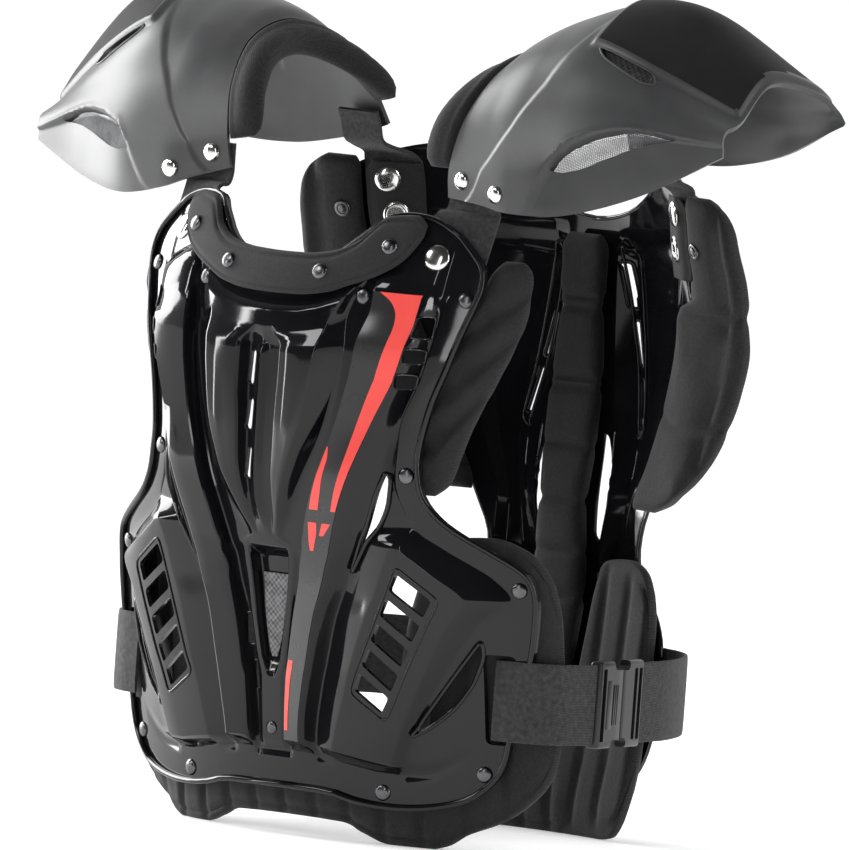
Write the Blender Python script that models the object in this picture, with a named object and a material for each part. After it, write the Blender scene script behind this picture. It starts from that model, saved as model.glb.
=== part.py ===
"""Chest protector: front and back shells, pads, shoulder cups, straps and rivets.

Metres, Z up, the front faces -Y and the wearer's left is +X. The protector
stands on the lower edges of its front and back pads. The tables hold shares
of HAND, read against the photograph and rounded by hand.
"""
import math

import bmesh
import bpy
from mathutils import Matrix, Vector
from mathutils.bvhtree import BVHTree

# Driving sizes
HAND = 0.100
DEPTH_SHIFT = -0.1176
SIDE_SHIFT = 0.0042
PLATE_WALL = 0.0032
CUP_WALL = 0.0030
PAD_THICK = 0.016
RIVET_BIG = 0.0085
RIVET_SMALL = 0.0052
RIVET_CUP = 0.0058
RIVET_SIDES = 8
STRAP_THICK = 0.0024
TAB_THICK = 0.0030
TAB_CLEAR = 0.0013
SIDE_STRAP_TALL = 0.050
FRONT_ROUND = 0.50
FRONT_CLEAR = 0.0010
BACK_CLEAR = 0.0008
SHOULDER_BEND = 1.20
SHOULDER_FALL = 0.40
CUP_ROLL = math.radians(6.5)
COLUMNS_PAD = 10
CUTTER_REACH = 0.06
LINING_SEAT = 0.0008
LINING_THICK = 0.0020
COLLAR_SEAT = 0.0121
COLLAR_THICK = 0.0085
EYELET = 0.0085
EYELET_SIDES = 10
RIVET_SEAT = 0.0006
FAR_FRONT = -1.5
FAR_BACK = 0.9

SIDES = ((1, "left"), (-1, "right"))
PARTS = None
CUTTERS = None


# Scene and material helpers
def clear():
    for item in list(bpy.data.objects):
        bpy.data.objects.remove(item, do_unlink=True)


def collection(name):
    group = bpy.data.collections.new(name)
    bpy.context.scene.collection.children.link(group)
    return group


def material(name, colour, roughness, metallic=0.0):
    mat = bpy.data.materials.new(name)
    mat.use_nodes = True
    shader = mat.node_tree.nodes["Principled BSDF"]
    shader.inputs["Base Color"].default_value = (*colour, 1.0)
    shader.inputs["Roughness"].default_value = roughness
    shader.inputs["Metallic"].default_value = metallic
    return mat


def solid(name, verts, faces, kind, group=None):
    mesh = bpy.data.meshes.new(name)
    mesh.from_pydata([tuple(v) for v in verts], [], faces)
    work = bmesh.new()
    work.from_mesh(mesh)
    bmesh.ops.recalc_face_normals(work, faces=work.faces)
    work.to_mesh(mesh)
    work.free()
    item = bpy.data.objects.new(name, mesh)
    (group or PARTS).objects.link(item)
    if kind:
        colour, roughness, metallic = KINDS[kind]
        mesh.materials.append(material(name + "_finish", colour, roughness, metallic))
    return item


def loft(name, loops, kind, group=None):
    count = len(loops[0])
    verts = [p for loop in loops for p in loop]
    faces = []
    for row in range(len(loops) - 1):
        low = row * count
        high = low + count
        for i in range(count):
            j = (i + 1) % count
            faces.append((low + i, low + j, high + j, high + i))
    faces.append(tuple(range(count - 1, -1, -1)))
    top = (len(loops) - 1) * count
    faces.append(tuple(top + i for i in range(count)))
    return solid(name, verts, faces, kind, group)


def slab(name, front, back, kind, group=None):
    rows = len(front)
    cols = len(front[0])
    verts = [p for row in front for p in row] + [p for row in back for p in row]
    base = rows * cols
    faces = []
    for r in range(rows - 1):
        for c in range(cols - 1):
            a = r * cols + c
            for tri in ((a, a + 1, a + cols + 1), (a, a + cols + 1, a + cols)):
                faces.append(tri)
                faces.append(tuple(base + k for k in reversed(tri)))
    rim = [r * cols for r in range(rows)]
    rim += [(rows - 1) * cols + c for c in range(1, cols)]
    rim += [r * cols + cols - 1 for r in range(rows - 2, -1, -1)]
    rim += [c for c in range(cols - 2, 0, -1)]
    for k, a in enumerate(rim):
        b = rim[(k + 1) % len(rim)]
        faces.append((a, b, base + b, base + a))
    return solid(name, verts, faces, kind, group)


def prism(name, points, y_low, y_high):
    loops = []
    for y in (y_low, y_high):
        loops.append([Vector((x, y, z)) for x, z in points])
    item = loft(name, loops, None, CUTTERS)
    item.hide_render = True
    item.display_type = "WIRE"
    return item


def cut(item, cutter, operation="DIFFERENCE"):
    step = item.modifiers.new("Cut", "BOOLEAN")
    step.operation = operation
    step.solver = "EXACT"
    step.object = cutter


def cut_group(item, group):
    step = item.modifiers.new("Openings", "BOOLEAN")
    step.operation = "DIFFERENCE"
    step.solver = "EXACT"
    step.operand_type = "COLLECTION"
    step.collection = group


# Table readers
def read(table, key, column=1):
    rows = sorted(table)
    if key <= rows[0][0]:
        return rows[0][column]
    for low, high in zip(rows, rows[1:]):
        if key <= high[0]:
            share = (key - low[0]) / (high[0] - low[0])
            return low[column] + share * (high[column] - low[column])
    return rows[-1][column]


def mirrored(points):
    left = [(-x, z) for x, z in reversed(points) if x > 1e-9]
    return left + list(points)


def hands(points):
    return [(x * HAND, z * HAND) for x, z in points]


# Front surface: height share, depth share of the body line
FRONT_LINE = [
    (-0.20, 0.02), (0.00, 0.01), (0.33, -0.026), (0.67, -0.075), (1.65, -0.21), (2.32, -0.36),
    (3.00, -0.37), (3.42, -0.33), (3.67, -0.26), (4.00, -0.12), (4.40, 0.05),
]
# Back surface: height share, depth share, roundness share
BACK_LINE = [
    (0.20, 2.53, 0.20), (0.60, 2.58, 0.20), (1.10, 2.63, 0.21), (1.60, 2.68, 0.22), (2.00, 2.66, 0.24),
    (2.40, 2.69, 0.25), (3.00, 2.72, 0.29), (3.55, 2.71, 0.36), (3.80, 2.69, 0.40), (4.40, 2.58, 0.42),
]


def front_at(x, z, out=0.0):
    line = read(FRONT_LINE, z / HAND) * HAND
    return Vector((x, line + x * x / FRONT_ROUND - out + DEPTH_SHIFT, z))


def back_at(x, z, out=0.0):
    line = read(BACK_LINE, z / HAND, 1) * HAND
    bend = read(BACK_LINE, z / HAND, 2) * HAND
    share = abs(x) / HAND
    turn = min(share, SHOULDER_BEND) ** 2 + SHOULDER_FALL * max(0.0, share - SHOULDER_BEND)
    return Vector((x, line - bend * turn + out + DEPTH_SHIFT, z))


# Front shell relief, one row for each height, shares of HAND:
# height, then the sideways place of the crease lines from keel to flange edge
FRONT_X = [
    (4.00, 0.00, 0.04, 0.12, 0.14, 0.62, 0.67, 0.75, 0.77, 1.04, 1.08, 1.11, 1.14, 1.17, 1.21, 1.40),
    (3.34, 0.00, 0.04, 0.12, 0.14, 0.60, 0.66, 0.74, 0.76, 1.05, 1.08, 1.10, 1.12, 1.14, 1.16, 1.36),
    (3.25, 0.00, 0.03, 0.05, 0.07, 0.54, 0.57, 0.70, 0.73, 1.05, 1.08, 1.10, 1.11, 1.12, 1.13, 1.34),
    (3.16, 0.00, 0.03, 0.06, 0.08, 0.47, 0.54, 0.70, 0.73, 1.04, 1.07, 1.09, 1.10, 1.11, 1.12, 1.32),
    (3.04, 0.00, 0.04, 0.13, 0.17, 0.44, 0.55, 0.66, 0.69, 1.02, 1.05, 1.06, 1.07, 1.08, 1.09, 1.28),
    (2.90, 0.00, 0.04, 0.13, 0.17, 0.42, 0.53, 0.63, 0.66, 0.97, 1.00, 1.01, 1.02, 1.03, 1.04, 1.24),
    (2.60, 0.00, 0.04, 0.12, 0.155, 0.37, 0.46, 0.56, 0.59, 0.84, 0.89, 0.91, 0.92, 0.93, 0.94, 1.15),
    (2.30, 0.00, 0.04, 0.11, 0.14, 0.27, 0.34, 0.46, 0.49, 0.73, 0.82, 0.88, 0.90, 0.91, 0.93, 1.14),
    (2.00, 0.00, 0.04, 0.08, 0.105, 0.15, 0.20, 0.36, 0.39, 0.62, 0.72, 1.00, 1.01, 1.02, 1.03, 1.30),
    (1.86, 0.00, 0.03, 0.06, 0.08, 0.10, 0.14, 0.32, 0.35, 0.575, 0.67, 0.93, 1.00, 1.10, 1.21, 1.54),
    (1.79, 0.00, 0.14, 0.16, 0.18, 0.20, 0.23, 0.30, 0.33, 0.555, 0.64, 0.90, 1.09, 1.22, 1.33, 1.66),
    (1.72, 0.00, 0.135, 0.155, 0.18, 0.20, 0.23, 0.28, 0.31, 0.53, 0.61, 0.87, 1.19, 1.33, 1.44, 1.72),
    (1.58, 0.00, 0.12, 0.14, 0.16, 0.18, 0.21, 0.25, 0.28, 0.49, 0.56, 0.82, 1.37, 1.49, 1.54, 1.74),
    (1.40, 0.00, 0.10, 0.12, 0.14, 0.16, 0.18, 0.21, 0.24, 0.43, 0.49, 0.74, 1.27, 1.38, 1.52, 1.74),
    (1.10, 0.00, 0.05, 0.07, 0.09, 0.11, 0.14, 0.16, 0.19, 0.37, 0.42, 0.64, 1.12, 1.19, 1.47, 1.72),
    (0.97, 0.00, 0.02, 0.04, 0.06, 0.08, 0.12, 0.145, 0.17, 0.345, 0.39, 0.60, 1.05, 1.11, 1.44, 1.70),
    (0.60, 0.00, 0.02, 0.04, 0.06, 0.08, 0.11, 0.13, 0.155, 0.30, 0.34, 0.50, 0.90, 0.95, 1.35, 1.66),
    (0.53, 0.00, 0.02, 0.04, 0.06, 0.08, 0.11, 0.13, 0.155, 0.30, 0.34, 0.49, 0.88, 0.93, 1.33, 1.62),
    (0.47, 0.00, 0.02, 0.04, 0.06, 0.08, 0.11, 0.13, 0.155, 0.30, 0.34, 0.49, 0.88, 0.93, 1.30, 1.60),
    (0.20, 0.00, 0.02, 0.04, 0.06, 0.08, 0.11, 0.13, 0.155, 0.30, 0.34, 0.49, 0.88, 0.93, 1.30, 1.60),
]
# Height, then how far each crease line stands out, as shares of HAND
FRONT_OUT = [
    (4.00, 0.02, 0.02, 0.02, 0.02, 0.02, 0.01, 0.01, 0.01, 0.01, 0.01, 0.00, 0.00, 0.00, 0.00, 0.00),
    (3.34, 0.04, 0.04, 0.04, 0.04, 0.04, 0.02, 0.02, 0.02, 0.02, 0.01, 0.00, 0.00, 0.00, 0.00, 0.00),
    (3.25, 0.10, 0.10, 0.10, 0.10, 0.10, 0.03, 0.03, 0.08, 0.09, 0.00, 0.00, 0.00, 0.00, 0.01, 0.00),
    (3.16, 0.10, 0.10, 0.10, 0.10, 0.10, 0.025, 0.025, 0.09, 0.10, 0.00, -0.01, -0.01, 0.00, 0.01, 0.00),
    (3.04, 0.045, 0.04, 0.03, 0.095, 0.105, 0.02, 0.02, 0.09, 0.10, 0.00, -0.01, -0.01, 0.00, 0.01, 0.00),
    (2.90, 0.045, 0.04, 0.03, 0.095, 0.110, 0.02, 0.02, 0.09, 0.10, 0.00, -0.01, -0.01, 0.00, 0.01, 0.00),
    (2.60, 0.045, 0.04, 0.03, 0.09, 0.110, 0.02, 0.02, 0.09, 0.10, 0.00, -0.01, -0.01, 0.00, 0.01, 0.00),
    (2.30, 0.045, 0.04, 0.03, 0.08, 0.10, 0.02, 0.02, 0.09, 0.11, 0.02, 0.00, 0.00, 0.00, 0.01, 0.00),
    (2.00, 0.045, 0.04, 0.03, 0.05, 0.06, 0.02, 0.02, 0.09, 0.11, 0.02, 0.01, 0.01, 0.01, 0.01, 0.00),
    (1.86, 0.03, 0.03, 0.03, 0.03, 0.03, 0.02, 0.02, 0.09, 0.11, 0.02, 0.09, 0.09, 0.04, 0.00, 0.00),
    (1.79, 0.02, 0.02, 0.02, 0.02, 0.02, 0.02, 0.02, 0.08, 0.11, 0.02, 0.09, 0.10, 0.04, 0.00, 0.00),
    (1.72, -0.04, -0.04, 0.02, 0.02, 0.02, 0.01, 0.01, 0.08, 0.11, 0.02, 0.09, 0.11, 0.04, 0.00, 0.00),
    (1.58, -0.04, -0.04, 0.02, 0.02, 0.02, 0.01, 0.01, 0.07, 0.11, 0.02, 0.09, 0.12, 0.04, 0.00, 0.00),
    (1.40, -0.03, -0.03, 0.02, 0.02, 0.02, 0.00, 0.00, 0.07, 0.11, 0.02, 0.09, 0.12, 0.04, 0.01, 0.00),
    (1.10, -0.02, -0.02, 0.02, 0.02, 0.02, 0.00, 0.00, 0.07, 0.11, 0.02, 0.09, 0.11, 0.04, 0.01, 0.00),
    (0.97, 0.02, 0.02, 0.02, 0.02, 0.02, 0.00, 0.00, 0.07, 0.11, 0.02, 0.08, 0.10, 0.04, 0.01, 0.00),
    (0.60, 0.02, 0.02, 0.02, 0.02, 0.02, 0.00, 0.00, 0.07, 0.10, 0.02, 0.07, 0.08, 0.03, 0.01, 0.00),
    (0.53, 0.00, 0.00, 0.00, 0.00, 0.00, 0.00, 0.00, 0.01, 0.01, 0.00, 0.01, 0.01, 0.00, 0.01, 0.00),
    (0.47, 0.01, 0.01, 0.01, 0.01, 0.01, 0.01, 0.01, 0.01, 0.01, 0.01, 0.01, 0.01, 0.01, 0.01, 0.00),
    (0.20, 0.01, 0.01, 0.01, 0.01, 0.01, 0.01, 0.01, 0.01, 0.01, 0.01, 0.01, 0.01, 0.01, 0.01, 0.00),
]
# Sideways share, rise of the yoke rows, fall of the lower band rows
ROW_LIFT = [
    (0.00, 0.00, 0.00), (0.20, 0.01, 0.00), (0.42, 0.06, -0.02), (0.56, 0.13, -0.05), (0.66, 0.20, -0.06),
    (0.80, 0.27, -0.08), (1.06, 0.16, -0.06), (1.15, 0.14, -0.02), (1.30, 0.14, 0.08), (1.40, 0.14, 0.16),
    (1.60, 0.14, 0.28),
]
# Half outline of the front shell from neck to lower edge
FRONT_EDGE = [
    (0.00, 3.58), (0.30, 3.61), (0.45, 3.68), (0.58, 3.80), (0.70, 3.90), (0.90, 3.91), (1.08, 3.84),
    (1.24, 3.70), (1.30, 3.62), (1.32, 3.52), (1.30, 3.40), (1.25, 3.22), (1.19, 3.00), (1.13, 2.82),
    (1.09, 2.66), (1.06, 2.48), (1.06, 2.36), (1.09, 2.20), (1.17, 2.08), (1.28, 1.99), (1.43, 1.90),
    (1.57, 1.81), (1.64, 1.74), (1.67, 1.64), (1.67, 1.48), (1.64, 1.22), (1.58, 0.94), (1.52, 0.70),
    (1.50, 0.60), (1.46, 0.50), (1.39, 0.41), (1.29, 0.33), (1.14, 0.275), (0.96, 0.245), (0.77, 0.24),
    (0.58, 0.26), (0.35, 0.30), (0.00, 0.32),
]
# Openings cut through the front shell: half width, half height, lean, centre x, centre z
FRONT_SLOTS = [
    (0.030, 0.11, -0.04, 0.095, 2.89), (0.030, 0.10, -0.04, 0.090, 2.60), (0.026, 0.10, -0.05, 0.080, 2.30),
    (0.028, 0.07, 0.10, 1.055, 3.24), (0.026, 0.05, 0.12, 1.025, 3.06), (0.026, 0.05, 0.16, 0.985, 2.90),
    (0.018, 0.10, 0.12, 0.180, 1.26), (0.016, 0.09, 0.08, 0.135, 0.98),
]
# Leaf openings, louvre windows and crescent vents as outlines
FRONT_HOLES = [
    [(0.86, 2.33), (0.895, 2.30), (0.885, 2.12), (0.82, 1.98), (0.74, 1.86), (0.62, 1.66), (0.68, 1.83),
     (0.76, 2.03)],
    [(0.96, 1.71), (1.18, 1.56), (1.13, 1.45), (0.91, 1.60)],
    [(0.895, 1.55), (1.11, 1.40), (1.06, 1.29), (0.85, 1.44)],
    [(0.835, 1.39), (1.04, 1.24), (0.99, 1.13), (0.79, 1.28)],
    [(0.775, 1.23), (0.97, 1.08), (0.92, 0.97), (0.73, 1.12)],
    [(0.715, 1.07), (0.90, 0.93), (0.85, 0.83), (0.67, 0.96)],
    [(1.39, 1.34), (1.40, 1.24), (1.34, 1.06), (1.24, 0.90), (1.12, 0.78), (0.98, 0.69), (1.08, 0.84),
     (1.24, 1.10)],
]


def lifted(x_share, z_share):
    rise = read(ROW_LIFT, x_share, 1)
    fall = read(ROW_LIFT, x_share, 2)
    top = min(1.0, max(0.0, (z_share - 2.90) / 0.35))
    foot = min(1.0, max(0.0, (1.60 - z_share) / 1.00))
    return z_share + rise * top + fall * foot


def front_rows():
    rows = []
    for places, outs in zip(FRONT_X, FRONT_OUT):
        row = []
        for x_share, out in zip(places[1:], outs[1:]):
            z_share = lifted(x_share, places[0])
            row.append((x_share, z_share, out))
        rows.append([(-x, z, o) for x, z, o in reversed(row[1:])] + row)
    return rows


def front_shell():
    rows = front_rows()
    outer = []
    inner = []
    for row in rows:
        outer.append([front_at(x * HAND, z * HAND, o * HAND) for x, z, o in row])
        inner.append([front_at(x * HAND, z * HAND, o * HAND - PLATE_WALL) for x, z, o in row])
    shell = slab("front_shell", outer, inner, "gloss")
    near = DEPTH_SHIFT - CUTTER_REACH
    far = DEPTH_SHIFT + 1.6 * CUTTER_REACH
    edge = prism("front_edge", hands(mirrored(FRONT_EDGE)[:-1]), near, far)
    cut(shell, edge, "INTERSECT")
    holes = bpy.data.collections.new("front_openings")
    CUTTERS.children.link(holes)
    for number, row in enumerate(FRONT_SLOTS):
        for side in (1, -1):
            add_hole(holes, "slot_%d_%d" % (number, side), slot_outline(row), side, near, far)
    for number, points in enumerate(FRONT_HOLES + [STRAP_SLOT]):
        for side in (1, -1):
            add_hole(holes, "hole_%d_%d" % (number, side), points, side, near, far)
    cut_group(shell, holes)
    return shell


def slot_outline(row):
    half_wide, half_tall, lean, x_mid, z_mid = row
    points = []
    for x_sign, z_sign in ((0, -1), (1, -0.75), (1, 0.75), (0, 1), (-1, 0.75), (-1, -0.75)):
        z = z_mid + z_sign * half_tall
        points.append((x_mid + x_sign * half_wide + lean * (z - z_mid), z))
    return points


def add_hole(group, name, points, side, near, far):
    item = prism(name, [(side * x, z) for x, z in hands(points)], near, far)
    CUTTERS.objects.unlink(item)
    group.objects.link(item)


# Back shell: height, crease places, then outs
BACK_X = [
    (4.40, 0.00, 0.12, 0.20, 0.30, 0.60, 0.85, 1.00, 1.25, 1.70),
    (3.80, 0.00, 0.12, 0.20, 0.30, 0.60, 0.85, 1.00, 1.25, 1.65),
    (3.55, 0.00, 0.14, 0.20, 0.30, 0.55, 0.82, 0.98, 1.22, 1.60),
    (3.00, 0.00, 0.14, 0.22, 0.35, 0.50, 0.74, 0.86, 1.08, 1.34),
    (2.40, 0.00, 0.14, 0.30, 0.44, 0.50, 0.62, 0.68, 0.80, 1.20),
    (2.00, 0.00, 0.14, 0.30, 0.40, 0.44, 0.50, 0.56, 0.66, 1.10),
    (1.60, 0.00, 0.14, 0.24, 0.32, 0.40, 0.50, 0.62, 0.90, 1.30),
    (1.10, 0.00, 0.16, 0.32, 0.40, 0.50, 0.60, 0.80, 1.00, 1.30),
    (0.60, 0.00, 0.18, 0.32, 0.40, 0.50, 0.60, 0.80, 1.00, 1.30),
    (0.20, 0.00, 0.18, 0.32, 0.40, 0.50, 0.60, 0.80, 1.00, 1.30),
]
BACK_OUT = [
    (4.40, 0.00, 0.00, 0.00, 0.00, 0.00, 0.00, 0.00, 0.00, 0.00),
    (3.80, 0.00, 0.00, 0.00, 0.00, 0.00, 0.00, 0.00, 0.00, 0.00),
    (3.55, 0.00, 0.00, 0.00, 0.09, 0.09, 0.08, 0.02, 0.00, 0.00),
    (3.00, 0.00, 0.00, 0.00, 0.10, 0.10, 0.09, 0.02, 0.00, 0.00),
    (2.40, 0.00, 0.00, 0.00, 0.08, 0.08, 0.07, 0.01, 0.00, 0.00),
    (2.00, 0.00, 0.00, 0.00, 0.07, 0.07, 0.05, 0.01, 0.00, 0.00),
    (1.60, 0.00, 0.00, 0.00, 0.07, 0.07, 0.05, 0.01, 0.00, 0.00),
    (1.10, 0.00, 0.00, 0.00, 0.06, 0.07, 0.07, 0.01, 0.00, 0.00),
    (0.60, 0.00, 0.00, 0.00, 0.04, 0.05, 0.05, 0.00, 0.00, 0.00),
    (0.20, 0.00, 0.00, 0.00, 0.00, 0.00, 0.00, 0.00, 0.00, 0.00),
]
BACK_EDGE = [
    (0.00, 3.82), (0.30, 3.88), (0.55, 4.02), (0.75, 4.18), (0.95, 4.20), (1.30, 4.08), (1.52, 3.94),
    (1.56, 3.72), (1.48, 3.50), (1.30, 3.22), (1.14, 2.90), (1.01, 2.62), (0.84, 2.32), (0.70, 2.05),
    (0.61, 1.80), (0.64, 1.60), (0.76, 1.48), (0.88, 1.36), (0.97, 1.20), (1.00, 0.95), (0.98, 0.65),
    (0.90, 0.46), (0.78, 0.36), (0.60, 0.33), (0.00, 0.33),
]
BACK_SLOTS = [
    (0.035, 0.15, -0.22, 0.26, 3.42), (0.032, 0.15, -0.22, 0.35, 3.06), (0.028, 0.15, -0.20, 0.43, 2.70),
]
BACK_HOLES = [
    [(0.19, 2.50), (0.25, 2.48), (0.30, 2.34), (0.30, 2.02), (0.25, 1.80), (0.19, 1.84)],
    [(0.20, 1.42), (0.27, 1.42), (0.31, 1.32), (0.29, 1.14), (0.22, 1.10)],
]


def back_shell():
    outer = []
    inner = []
    for places, outs in zip(BACK_X, BACK_OUT):
        row = list(zip(places[1:], outs[1:]))
        row = [(-x, o) for x, o in reversed(row[1:])] + row
        z = places[0] * HAND
        outer.append([back_at(x * HAND, z, o * HAND + PLATE_WALL) for x, o in row])
        inner.append([back_at(x * HAND, z, o * HAND) for x, o in row])
    shell = slab("back_shell", inner, outer, "gloss")
    near = DEPTH_SHIFT + 1.3 * HAND
    far = DEPTH_SHIFT + 3.4 * HAND
    cut(shell, prism("back_edge", hands(mirrored(BACK_EDGE)[:-1]), near, far), "INTERSECT")
    holes = bpy.data.collections.new("back_openings")
    CUTTERS.children.link(holes)
    for number, row in enumerate(BACK_SLOTS):
        for side in (1, -1):
            add_hole(holes, "back_slot_%d_%d" % (number, side), slot_outline(row), side, near, far)
    for number, points in enumerate(BACK_HOLES):
        for side in (1, -1):
            add_hole(holes, "back_hole_%d_%d" % (number, side), points, side, near, far)
    cut_group(shell, holes)
    return shell


# Pads: a crowned slab that follows one of the two body surfaces
def pad(name, rows, surface, seat, thick, kind="pad", across=COLUMNS_PAD, channels=()):
    loops = []
    last = len(rows) - 1
    for number, (z_share, x_low, x_high) in enumerate(rows):
        z = z_share * HAND
        ends = 0.55 if number in (0, last) else 1.0
        fore = []
        aft = []
        for c in range(across + 1):
            share = c / across
            x = (x_low + (x_high - x_low) * share) * HAND
            edge = 0.35 if c in (0, across) else 1.0
            groove = 0.55 if number in channels else 1.0
            depth = thick * edge * ends * groove
            slack = thick * (1.0 - edge) * 0.35
            near = surface(x, z, seat - slack)
            away = surface(x, z, seat - slack - depth)
            fore.append(near)
            aft.append(away)
        loops.append(fore + list(reversed(aft)))
    return loft(name, loops, kind)


# Front pads: height, inner edge, outer edge
UPPER_PAD = [
    (2.20, 0.98, 1.10), (2.28, 0.90, 1.20), (2.46, 0.86, 1.30), (2.62, 0.88, 1.36), (2.84, 0.94, 1.50),
    (3.00, 0.98, 1.60), (3.10, 1.02, 1.62), (3.24, 1.33, 1.66), (3.46, 1.34, 1.64), (3.60, 1.34, 1.54),
    (3.68, 1.35, 1.44),
]
# Lower front pad: sideways place, lower edge, upper edge
LOWER_PAD = [
    (-1.73, 0.90, 1.50), (-1.68, 0.54, 1.74), (-1.58, 0.36, 1.90), (-1.40, 0.20, 1.97), (-1.20, 0.10, 1.95),
    (-1.08, 0.02, 1.60), (-1.00, 0.00, 0.62), (-0.74, 0.00, 0.60), (-0.58, 0.05, 0.60), (-0.42, 0.11, 0.60),
    (0.00, 0.12, 0.62), (0.42, 0.11, 0.60), (0.58, 0.05, 0.60), (0.74, 0.00, 0.60), (1.00, 0.00, 0.62),
    (1.08, 0.02, 1.60), (1.20, 0.10, 1.95), (1.40, 0.20, 1.97), (1.58, 0.36, 1.90), (1.68, 0.54, 1.74),
    (1.73, 0.90, 1.50),
]
# Back pads: height, inner edge, outer edge
BACK_PAD = [
    (2.06, 0.66, 0.90), (2.14, 0.68, 1.12), (2.32, 0.76, 1.36), (2.52, 0.84, 1.51), (2.62, 0.88, 1.56),
    (2.84, 0.96, 1.66), (3.20, 1.10, 1.76), (3.34, 1.14, 1.76), (3.46, 1.34, 1.78), (3.85, 1.34, 1.74),
    (4.00, 1.34, 1.66), (4.08, 1.35, 1.54),
]
SPINE_PAD = [
    (1.00, -0.16, 0.16), (1.06, -0.18, 0.18), (1.40, -0.20, 0.20), (1.46, -0.19, 0.19), (1.52, -0.19, 0.19),
    (2.00, -0.17, 0.17), (2.06, -0.16, 0.16), (2.12, -0.17, 0.17), (2.48, -0.19, 0.19), (2.70, -0.19, 0.19),
    (2.76, -0.18, 0.18), (2.82, -0.18, 0.18), (3.20, -0.15, 0.15), (3.26, -0.14, 0.14), (3.32, -0.15, 0.15),
    (3.62, -0.16, 0.16), (3.72, -0.12, 0.12),
]
# Lumbar pad with its two kidney wings: sideways place, lower edge, upper edge
LUMBAR_PAD = [
    (-0.98, 0.44, 0.90), (-0.95, 0.28, 1.34), (-0.89, 0.12, 1.58), (-0.80, 0.02, 1.70), (-0.66, 0.00, 1.74),
    (-0.44, 0.00, 1.72), (-0.37, 0.00, 1.66), (-0.31, 0.00, 0.96), (0.00, 0.00, 0.94), (0.31, 0.00, 0.96),
    (0.37, 0.00, 1.66), (0.44, 0.00, 1.72), (0.66, 0.00, 1.74), (0.80, 0.02, 1.70), (0.89, 0.12, 1.58),
    (0.95, 0.28, 1.34), (0.98, 0.44, 0.90),
]
# Tabs that hold the rear shoulder straps: height, inner edge, outer edge
BACK_TAB = [(3.54, 1.00, 1.28), (3.60, 0.99, 1.30), (3.98, 0.99, 1.30), (4.06, 1.00, 1.24)]
# Collar: sideways place, lower edge, upper edge
COLLAR = [
    (-0.94, 3.80, 3.86), (-0.86, 3.64, 3.92), (-0.70, 3.52, 3.90), (-0.56, 3.46, 3.74), (-0.40, 3.40, 3.66),
    (-0.20, 3.37, 3.63), (0.00, 3.365, 3.625), (0.20, 3.37, 3.63), (0.40, 3.40, 3.66), (0.56, 3.46, 3.74),
    (0.70, 3.52, 3.90), (0.86, 3.64, 3.92), (0.94, 3.80, 3.86),
]


def wide_pad(name, rows, surface, seat, thick, kind, across, channels=()):
    loops = []
    last = len(rows) - 1
    for number, (x_share, z_low, z_high) in enumerate(rows):
        x = x_share * HAND
        ends = 0.55 if number in (0, last) else 1.0
        fore = []
        aft = []
        for c in range(across + 1):
            z = (z_low + (z_high - z_low) * c / across) * HAND
            edge = 0.45 if c in (0, across) else 1.0
            groove = 0.6 if number in channels else 1.0
            depth = thick * edge * ends * groove
            slack = thick * (1.0 - edge) * 0.35
            fore.append(surface(x, z, seat - slack))
            aft.append(surface(x, z, seat - slack - depth))
        loops.append(fore + list(reversed(aft)))
    return loft(name, loops, kind)


def sided(rows, side):
    if side > 0:
        return rows
    return [(z, -x_high, -x_low) for z, x_low, x_high in rows]


# Shoulder cup, shares of HAND: sideways place of each column, then each row
# from the front edge over the shoulder to the rear edge as depth and height
CUP_ACROSS = (0.00, 1.16, 1.42, 1.80, 2.25, 2.76)
CUP_NECK = (0.88, 0.90, 0.96, 1.03, 1.07, 1.06, 1.02, 0.98)
CUP_ROWS = [
    ((0.15, 4.04), (0.12, 3.99), (0.10, 3.93), (0.16, 3.91), (0.34, 4.02), (0.54, 4.25)),
    ((0.15, 4.26), (0.12, 4.24), (0.10, 4.22), (0.14, 4.24), (0.33, 4.36), (0.55, 4.36)),
    ((0.27, 4.58), (0.26, 4.60), (0.25, 4.62), (0.28, 4.60), (0.42, 4.56), (0.60, 4.42)),
    ((0.56, 4.86), (0.55, 4.92), (0.53, 4.97), (0.50, 4.95), (0.56, 4.75), (0.74, 4.47)),
    ((1.00, 4.98), (1.00, 5.07), (1.00, 5.16), (1.00, 5.22), (1.00, 5.12), (1.04, 4.70)),
    ((1.42, 4.87), (1.44, 4.94), (1.47, 5.02), (1.50, 5.04), (1.52, 4.94), (1.50, 4.64)),
    ((1.70, 4.60), (1.73, 4.61), (1.78, 4.62), (1.82, 4.60), (1.82, 4.54), (1.68, 4.54)),
    ((1.84, 4.32), (1.86, 4.28), (1.88, 4.24), (1.88, 4.22), (1.84, 4.28), (1.75, 4.46)),
]
CUP_PIVOT = Vector((0.95 * HAND, 0.0, 4.10 * HAND))


def cup_turn(point, side):
    lift = Matrix.Rotation(-CUP_ROLL * side, 3, "Y")
    moved = lift @ (point - CUP_PIVOT) + CUP_PIVOT
    return Vector((moved.x * side, moved.y + DEPTH_SHIFT, moved.z))


def cup_grid(side, inset=0.0):
    grid = []
    for neck, row in zip(CUP_NECK, CUP_ROWS):
        line = [Vector((max(x, neck) * HAND, y * HAND, z * HAND)) for x, (y, z) in zip(CUP_ACROSS, row)]
        grid.append(line)
    grid = [smooth_line(line, 2) for line in grid]
    grid = [list(line) for line in zip(*[smooth_line(list(col), 2) for col in zip(*grid)])]
    if inset:
        grid = offset_grid(grid, inset)
    return [[cup_turn(p, side) for p in line] for line in grid]


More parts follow.
